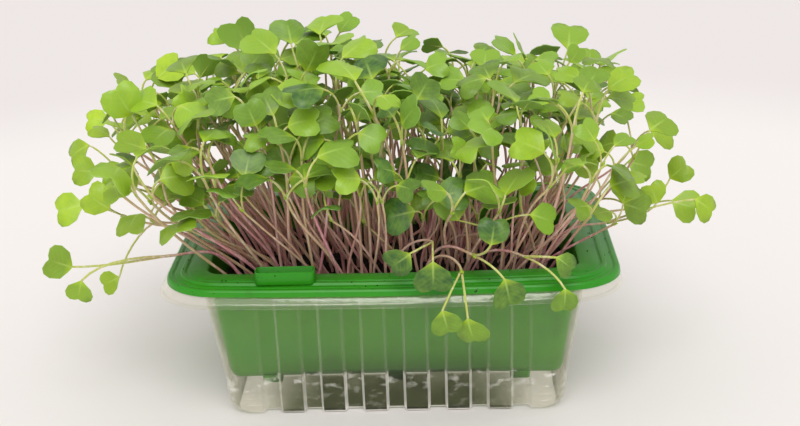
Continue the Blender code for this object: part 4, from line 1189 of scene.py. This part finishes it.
def tube_along(unit, route, radii):
    """Bend the unit tube along a route of points, with one radius for each."""
    points, _ = unit
    segments = len(route) - 1
    headings = [(route[min(k + 1, segments)] - route[max(k - 1, 0)]).normalized() for k in range(len(route))]
    side = headings[0].orthogonal().normalized()
    frames = []
    for heading_here in headings:
        side = (side - side.project(heading_here)).normalized()
        frames.append((np.array(side), np.array(heading_here.cross(side))))
    stops = np.array([tuple(p) for p in route])
    rings = np.rint(points[:, 2] * segments).astype(int)
    sides = np.array([frames[k][0] for k in range(len(route))])[rings]
    fronts = np.array([frames[k][1] for k in range(len(route))])[rings]
    radius = np.array(radii)[rings][:, None]
    return stops[rings] + (sides * points[:, :1] + fronts * points[:, 1:2]) * radius, rings / segments


def leaf_points(leaf, unit_points, thickness, waves):
    """Bend the flat unit leaf to its place, with the planting rule's sag and small waves of its own."""
    across, along, level = unit_points.T
    edge = 2 * np.abs(across)
    sag = leaf.arch * edge ** 1.6 * (0.4 + 0.6 * along) + leaf.curl * along ** 2
    phase, depth, fold = waves
    ripple = depth * edge ** 2 * np.sin(7.0 * along + phase + np.sign(across) * 0.9)
    # The blade opens like a funnel from its stalk, and flattens out further on.
    funnel = fold * edge * (1 - 0.75 * along)
    taper = 1 - 0.45 * edge ** 3
    rib = np.where((edge < 0.04) & (level < 0), 1.7 - along, 1.0)
    height = level * thickness * taper * rib + (funnel - sag - ripple) * leaf.width
    side = np.array(leaf.tip.cross(leaf.face))
    base, tip, face = (np.array(v) for v in (leaf.base, leaf.tip, leaf.face))
    length = leaf.width * BLADE_LENGTH_RATIO
    return (base + np.outer(along * length, tip) + np.outer(across * leaf.width, side)
            + np.outer(height, face))


def grow(growth, seedling, units, settings, draw):
    """Add one fine seedling: stem, two leaf stalks that run on as ribs, two leaves and the buds between."""
    leaf_unit, stem_unit, stalk_unit, bud_unit = units
    shade = draw.random()
    # Leaves are yellower towards the ends of the tray, as painted light, and deeper green low down in its
    # middle, as painted shade; both also vary at random.
    warmth = min(max(0.4 * draw.random() ** 2 + 0.45 * (abs(seedling.node.x) / CANOPY_X) ** 2.5, 0.0), 1.0)
    flush = draw.random() ** 2

    route = [seedling.root.lerp(seedling.collar, 0.6)]
    route += [seedling.stem_point(k / (STEM_SEGMENTS - 1)) for k in range(STEM_SEGMENTS)]
    stout = draw.uniform(0.85, 1.15)
    radii = [ROOT_GAUGE * stout]
    radii += [(STEM_GAUGE - STEM_TAPER * k / (STEM_SEGMENTS - 1)) * stout for k in range(STEM_SEGMENTS)]
    radii[-1] *= NODE_SWELL
    points, share = tube_along(stem_unit, route, radii)
    growth.add(points, stem_unit[1], 1, np.stack([share * 0, share, share * 0], 1), (shade, 0, flush))

    for leaf in seedling.leaves:
        before = round(STALK_END * STALK_SEGMENTS)
        route = [seedling.petiole_point(leaf, k / before) for k in range(before + 1)]
        route[0] = route[0] - seedling.arrival * 0.6
        ribs = STALK_SEGMENTS - before
        route += [leaf.point(0.0, 0.62 * k / ribs, -0.25) for k in range(1, ribs + 1)]
        radii = [STALK_GAUGE - STALK_TAPER * k / before for k in range(before + 1)]
        radii += [RIB_GAUGE * (1 - k / (ribs + 0.6)) for k in range(1, ribs + 1)]
        points, share = tube_along(stalk_unit, route, [r * stout for r in radii])
        blade = np.stack([share * 0, 1 + share, share * 0], 1)
        growth.add(points, stalk_unit[1], 1, blade, (shade, 0, flush))

        waves = (draw.uniform(0, math.tau), draw.uniform(0.01, 0.05), draw.uniform(0.04, 0.34))
        points = leaf_points(leaf, leaf_unit[0], settings.blade_thickness / MM, waves)
        across, along, level = leaf_unit[0].T
        under = (level < 0).astype(float)
        # Leaves low in the canopy get painted shade: a deeper green share.
        height = max((leaf.base.z - LIP_Z) / CANOPY_TOP, 0.25)
        tone = min(max(0.5 * shade + 0.6 * (height - 0.5) + draw.uniform(-0.5, 0.8), 0.0), 1.0)
        growth.add(points, leaf_unit[1], 0, np.stack([across, along, leaf_unit[2]], 1),
                   np.stack([np.full_like(under, tone), under, np.full_like(under, warmth)], 1))

    turn = draw.uniform(0, math.tau)
    for way in (0.0, math.pi):
        size = draw.uniform(1.6, 3.2)
        lean = Matrix.Rotation(turn + way, 3, "Z") @ Matrix.Rotation(0.45, 3, "X")
        aim = seedling.arrival.to_track_quat("Z", "Y").to_matrix() @ lean
        points = bud_unit[0] @ np.array(aim).T * size + np.array(seedling.node)
        flat = np.zeros(len(points))
        growth.add(points, bud_unit[1], 0, np.stack([flat + 0.2, flat + 0.5, flat], 1), (0.7, 0.25, 0.8))


def fine_units():
    """The unit leaf, stem, stalk and bud, each as points and faces; the leaf also has its nearness."""
    leaf_points_flat, leaf_faces_flat = model_leaf()
    nearness = margin_nearness(leaf_points_flat)
    level = np.where(leaf_points_flat[:, 2] > 0, 0.5, -0.5)
    leaf_unit = (np.column_stack([leaf_points_flat[:, :2], level]), leaf_faces_flat, nearness)
    return (leaf_unit, model_tube("stem", STEM_SIDES, STEM_SEGMENTS),
            model_tube("leaf_stalk", STALK_SIDES, STALK_SEGMENTS), model_bud())


def margin_nearness(points):
    """How near each point of the flat leaf is to its margin, 1 on the margin itself."""
    margin = [margin_point(k / 40) for k in range(41)]
    nearness = []
    for across, along, _ in points:
        gap = min((Vector((abs(across), along)) - spot).length for spot in margin)
        nearness.append(max(0.0, 1 - gap / 0.30))
    return np.array(nearness)


FURTHER_SEED = LAYOUT_SEED + 15485863
THIN_SIDE_X = 5.0           # to the right of this, in millimetres, fewer seedlings stand
THIN_SHARE = 0.75           # this share of the draws there is passed over
ROOT_SPACING = 2.6          # least distance between two roots
FURTHER_SWELL = -0.3        # fine stems are thinner than the solids', so they may stand closer


def further_seedlings(planting, roots, count):
    """Seedlings between the clumps, planted by the same rule, and thinned out on the right."""
    found = []
    taken = [Vector(spot) for spot in roots.values()]
    for index in range(count):
        for attempt in range(ATTEMPTS):
            draw = random.Random(FURTHER_SEED + SEEDLING_STEP * index + ATTEMPT_STEP * attempt)
            x = CLUMP_FIELD_X * draw.uniform(-1.0, 1.0)
            y = CLUMP_FIELD_Y * draw.uniform(-1.05, 1.0)
            thin_out = x > THIN_SIDE_X and draw.random() < THIN_SHARE
            if thin_out or min((Vector((x, y)) - spot).length for spot in taken) < ROOT_SPACING:
                continue
            candidate = grown_seedling(x, y, Vector((0, 0, 0)), draw)
            if planting.accepts(candidate, ("further", index), swell=FURTHER_SWELL):
                found.append(candidate)
                taken.append(Vector((x, y)))
                break
    return found


# ---- Settings ----

def color_setting(name, description, code):
    """A colour that the user may change, its default given as an sRGB hex code."""
    return FloatVectorProperty(name=name, description=description, default=linear(code), size=4,
                               subtype="COLOR", min=0.0, max=1.0)


class PunnetSettings(bpy.types.PropertyGroup):
    gauge: FloatProperty(name="Gauge", description="Thickness of the clear sheet", default=0.5 * MM,
                         min=0.2 * MM, unit="LENGTH")
    face_haze: FloatProperty(name="Face haze", description="How milky the sheet looks face on", default=0.035,
                             subtype="FACTOR", min=0.0, max=1.0)
    sheet_color: color_setting("Sheet colour", "Light that passes one face of the sheet", "#FDFCF8")
    # Painted shade: the ribs under the insert take this tint for the shadow there.
    rib_color: color_setting("Rib colour", "Light that passes one face of a rib, under the insert", "#989E7C")
    haze_color: color_setting("Shine colour", "The sheet's shine on its bends", "#FCFAF4")


class InsertSettings(bpy.types.PropertyGroup):
    rim_color: color_setting("Rim colour", "Green plastic of the rim", "#308E14")
    base_color: color_setting("Wall colour", "Green plastic of the wall", "#509C1C")
    # The colour the wall darkens to towards its bottom.
    wall_color: color_setting("Lower wall colour", "Wall backed by wet soil", "#447E18")
    shade_color: color_setting("Cloud colour", "Slow changes in the sheet's thickness", "#1E7F26")
    dust_color: color_setting("Dust colour", "Film of dried soil", "#3C4A1E")
    speck_color: color_setting("Speck colour", "Specks of soil", "#171008")


class SoilSettings(bpy.types.PropertyGroup):
    color: color_setting("Soil colour", "Damp peat", "#080605")
    dry_color: color_setting("Dry crumb colour", "Crumbs that have dried", "#2B1F15")
    fibre_color: color_setting("Fibre colour", "Pale fibres in the peat", "#6B5238")
    crumbs: IntProperty(name="Crumbs", description="Loose crumbs on the soil", default=420, min=0)
    specks: IntProperty(name="Specks", description="Crumbs scattered on the green rim", default=60, min=0)


class SproutSettings(bpy.types.PropertyGroup):
    further: IntProperty(name="Further seedlings", description="Seedlings tried between the clumps",
                         default=600, min=0)
    blade_thickness: FloatProperty(name="Leaf thickness", description="Thickness of a seed leaf",
                                   default=0.5 * MM, min=0.2 * MM, unit="LENGTH")
    vein_count: FloatProperty(name="Side veins", description="Side veins along the midrib", default=6.0,
                              min=0.0)
    leaf_color: color_setting("Leaf colour", "Most of a seed leaf", "#80A92C")
    # Deep green also stands in as painted shade for leaves low in the canopy.
    deep_color: color_setting("Deep leaf colour", "Leaves in the thick of the tray", "#28571A")
    # Bright yellow is partly painted light for leaves at the tray's ends.
    bright_color: color_setting("Bright leaf colour", "Leaves at the edges, full of light", "#B2CF1E")
    underside_color: color_setting("Underside colour", "The matt side of a leaf", "#98B962")
    vein_color: color_setting("Vein colour", "Midrib and side veins", "#B9D66A")
    # The foot colour is pinker, and also darker as painted shade among the stems.
    foot_color: color_setting("Foot colour", "Stem at the soil", "#C98792")
    stem_color: color_setting("Stem colour", "Most of a stem", "#ECBBAE")
    stalk_color: color_setting("Stalk colour", "Leaf stalk", "#B7C45C")
    olive_color: color_setting("Olive stems", "Stems with less purple in them", "#C0B078")
    flush_color: color_setting("Flushed stems", "Stems with the most purple", "#C0648A")
    pale_color: color_setting("Pale streaks", "Watery streaks along a stem", "#F2DDD2")


class StageSettings(bpy.types.PropertyGroup):
    lens: FloatProperty(name="Lens", description="Focal length on a 36 mm sensor", default=67.5, min=1.0,
                        unit="CAMERA")
    window_strength: FloatProperty(name="Window light", description="Broad even light from high in front",
                                   default=1.6, min=0.0)
    room_strength: FloatProperty(name="Room light", description="Light from the white room", default=0.82,
                                 min=0.0)
    table_color: color_setting("Table colour", "Board under the tray", "#E6E2E0")
    distance_color: color_setting("Distance colour", "Board far from the tray", "#DBD6D6")
    room_color: color_setting("Room colour", "Light from the white room", "#FFFCFA")


SETTINGS = {"microgreens_punnet": PunnetSettings, "microgreens_insert": InsertSettings,
            "microgreens_soil": SoilSettings, "microgreens_sprouts": SproutSettings,
            "microgreens_stage": StageSettings}


# ---- Operators ----

CRUMB_FIELD = (70.0, 44.0)  # half sizes of the ground that loose crumbs lie on, in millimetres
FURTHER_GROUPS = 6          # pieces that the further seedlings are gathered in
PLACE_TOLERANCE = 1.0       # how far past its solid's box a clump's nodes and leaf bases may lie
TABLE_SIZE = 8.0            # in metres
WINDOW_SIDE = Vector((0.04, -0.85, 1.1))        # towards the window
WINDOW_WIDTH = 40.0         # how wide the window looks from the tray, in degrees
CAMERA_PLACE = (0.0215, -0.63432, 0.28388)      # in metres
CAMERA_ANGLES = (18.44, -1.73, -1.77)           # down, to the right and rolled, in degrees
SENSOR_WIDTH = 36.0


def hand_over(piece, material, slot, *nodes):
    """Give the piece its material and body, and let it stand for its solids; the slot is not used.

    Where material is None, the piece already has its own.
    """
    if material:
        piece.data.materials.clear()
        piece.data.materials.append(material)
    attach(piece, "root")
    if nodes:
        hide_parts(*nodes)


class MICROGREENS_OT_clear_punnet(bpy.types.Operator):
    """Model the clear outer punnet with its flutes, step rings and flange"""
    bl_idname = "microgreens.clear_punnet"
    bl_label = "Clear punnet"

    def execute(self, context):
        settings = context.scene.microgreens_punnet
        hand_over(model_clear_punnet(settings), clear_pet_sheet(settings), "clear_pet", "clear_container")
        return {"FINISHED"}


class MICROGREENS_OT_green_insert(bpy.types.Operator):
    """Model the green insert with its ridged rim, block, buttresses and feet"""
    bl_idname = "microgreens.green_insert"
    bl_label = "Green insert"

    def execute(self, context):
        settings = context.scene.microgreens_insert
        hand_over(model_green_insert(), green_polystyrene(settings), "green_plastic", "green_insert")
        return {"FINISHED"}


class MICROGREENS_OT_soil(bpy.types.Operator):
    """Model the soil block, its loose crumbs and the specks on the rim"""
    bl_idname = "microgreens.soil"
    bl_label = "Potting soil"

    def execute(self, context):
        settings = context.scene.microgreens_soil
        material = damp_potting_soil(settings)
        hand_over(model_soil(), material, "soil", "growing_medium")
        unit = model_crumb()
        draw = random.Random(LAYOUT_SEED + 1)
        crumbs, specks = Growth("soil_crumbs"), Growth("rim_specks")
        for _ in range(settings.crumbs):
            x, y = (draw.uniform(-half, half) for half in CRUMB_FIELD)
            place_crumb(crumbs, unit, Vector((x, y, soil_level(x, y) + draw.uniform(-0.4, 0.8))),
                        draw.uniform(0.5, 1.5), draw)
        for _ in range(settings.specks):
            place_crumb(specks, unit, rim_spot(draw), draw.uniform(0.16, 0.42), draw)
        for group in (crumbs, specks):
            hand_over(group.build([material]), None, "soil")
        return {"FINISHED"}


class MICROGREENS_OT_sprouts(bpy.types.Operator):
    """Grow every seedling: the clumps that stand for the solids, then the further ones between them"""
    bl_idname = "microgreens.sprouts"
    bl_label = "Radish seedlings"

    def execute(self, context):
        settings = context.scene.microgreens_sprouts
        materials = [radish_seed_leaf(settings), radish_stem(settings)]
        units = fine_units()
        planting = Planting()
        roots, clumps = lay_out(planting)
        places = [place for place in sorted(clumps, key=lambda spot: (spot[1], spot[0])) if clumps[place]]
        for number, place in enumerate(places, start=1):
            check_place(clumps[place], f"seedlings_{number:02d}")
            growth = Growth(f"sprouts_{number:02d}")
            for index, seedling in enumerate(clumps[place]):
                grow(growth, seedling, units, settings, random.Random(LAYOUT_SEED + 31 * number + 7 * index))
            hand_over(growth.build(materials), None, "seedling", f"seedlings_{number:02d}")
        further = further_seedlings(planting, roots, settings.further)
        further.sort(key=lambda seedling: seedling.root.x)
        for number in range(FURTHER_GROUPS):
            growth = Growth(f"further_sprouts_{number + 1}")
            first, last = (k * len(further) // FURTHER_GROUPS for k in (number, number + 1))
            share = further[first:last]
            for index, seedling in enumerate(share):
                grow(growth, seedling, units, settings, random.Random(LAYOUT_SEED + 997 * number + index))
            hand_over(growth.build(materials), None, "seedling")
        return {"FINISHED"}


class MICROGREENS_OT_stage(bpy.types.Operator):
    """Set the pale table, the window's light, the white room and the camera"""
    bl_idname = "microgreens.stage"
    bl_label = "Stage"

    def execute(self, context):
        settings = context.scene.microgreens_stage
        table = add_primitive(bpy.ops.mesh.primitive_plane_add, "table", size=TABLE_SIZE)
        bpy.ops.mesh.subdivide(number_cuts=3)
        bpy.ops.object.mode_set(mode="OBJECT")
        table.data.materials.append(painted_pale_board(settings))
        soft_sun("window", settings.window_strength)
        world = bpy.data.worlds.new("white_room")
        world.use_nodes = True
        background = world.node_tree.nodes["Background"]
        background.inputs["Color"].default_value = settings.room_color
        background.inputs["Strength"].default_value = settings.room_strength
        context.scene.world = world
        context.scene.view_settings.view_transform = "Standard"
        set_camera(settings.lens)
        return {"FINISHED"}


def check_place(seedlings, node):
    """Stop if the planting rule no longer puts a clump where its solid stands."""
    low, high = (Vector(corner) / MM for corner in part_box(node))
    for seedling in seedlings:
        for spot in (seedling.node, *(leaf.base for leaf in seedling.leaves)):
            past = max(max(low[k] - spot[k], spot[k] - high[k]) for k in range(3))
            if past > PLACE_TOLERANCE:
                raise RuntimeError(f"{node} does not hold the seedling planted there")


def place_crumb(group, unit, place, size, draw):
    """Add one crumb, turned and squashed at random."""
    turn = Matrix.Rotation(draw.uniform(0, math.tau), 3, Vector((draw.gauss(0, 1), draw.gauss(0, 1), 1)))
    points = unit[0] * np.array((1, draw.uniform(0.6, 1), draw.uniform(0.5, 0.9))) @ np.array(turn).T
    empty = np.zeros((len(points), 3))
    group.add(points * size + np.array(place), unit[1], 0, empty, empty)


def rim_spot(draw):
    """A place on the green rim's upper side, more often on its long sides, and there more at the front."""
    along, across = draw.uniform(-1, 1), draw.uniform(3.0, 16.0)
    if draw.random() < 0.6:
        x = along * (RIM_LENGTH / 2 - 22)
        y = math.copysign(RIM_DEPTH / 2 + RIM_BOW * (1 - (2 * x / RIM_LENGTH) ** 2) - across,
                          draw.uniform(-1, 0.4))
    else:
        x = math.copysign(RIM_LENGTH / 2 - across, draw.uniform(-1, 1))
        y = along * (RIM_DEPTH / 2 - 20)
    return Vector((x, y, (BAND_Z if across > 6.2 else LIP_Z + 2.7) + 0.1))


def soft_sun(name, strength):
    """A broad even light from the window's side, with soft-edged shadows."""
    lamp = bpy.data.lights.new(name, "SUN")
    lamp.energy = strength
    lamp.angle = math.radians(WINDOW_WIDTH)
    light = bpy.data.objects.new(name, lamp)
    light.rotation_euler = WINDOW_SIDE.to_track_quat("Z", "Y").to_euler()
    bpy.context.scene.collection.objects.link(light)


def set_camera(lens):
    """Look down on the front of the tray from a little to its right, with a slight roll."""
    pitch, yaw, roll = (math.radians(angle) for angle in CAMERA_ANGLES)
    forward = Vector((math.sin(yaw) * math.cos(pitch), math.cos(yaw) * math.cos(pitch), -math.sin(pitch)))
    level = Vector((math.cos(yaw), -math.sin(yaw), 0))
    upward = level.cross(forward)
    right = level * math.cos(roll) + upward * math.sin(roll)
    top = upward * math.cos(roll) - level * math.sin(roll)
    camera = bpy.data.objects.new("camera", bpy.data.cameras.new("camera"))
    camera.data.lens = lens
    camera.data.sensor_width = SENSOR_WIDTH
    turned = Matrix((right, top, -forward)).transposed().to_4x4()
    camera.matrix_world = Matrix.Translation(CAMERA_PLACE) @ turned
    bpy.context.scene.collection.objects.link(camera)
    bpy.context.scene.camera = camera


class MICROGREENS_PT_panel(bpy.types.Panel):
    """The tray's operators and their settings"""
    bl_label = "Radish microgreens tray"
    bl_idname = "MICROGREENS_PT_panel"
    bl_space_type = "VIEW_3D"
    bl_region_type = "UI"
    bl_category = "Microgreens"

    def draw(self, context):
        for operator, group in zip(OPERATORS, SETTINGS):
            box = self.layout.box()
            box.operator(operator.bl_idname)
            settings = getattr(context.scene, group)
            for name in SETTINGS[group].__annotations__:
                box.prop(settings, name)


OPERATORS = (MICROGREENS_OT_clear_punnet, MICROGREENS_OT_green_insert, MICROGREENS_OT_soil,
             MICROGREENS_OT_sprouts, MICROGREENS_OT_stage)


def register():
    for group in (*SETTINGS.values(), *OPERATORS, MICROGREENS_PT_panel):
        bpy.utils.register_class(group)
    for name, group in SETTINGS.items():
        setattr(bpy.types.Scene, name, PointerProperty(type=group))


def unregister():
    for name in SETTINGS:
        delattr(bpy.types.Scene, name)
    for group in reversed((*SETTINGS.values(), *OPERATORS, MICROGREENS_PT_panel)):
        bpy.utils.unregister_class(group)


def main():
    """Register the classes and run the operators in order."""
    register()
    bpy.ops.microgreens.clear_punnet()
    bpy.ops.microgreens.green_insert()
    bpy.ops.microgreens.soil()
    bpy.ops.microgreens.sprouts()
    bpy.ops.microgreens.stage()


if __name__ == "__main__":
    main()
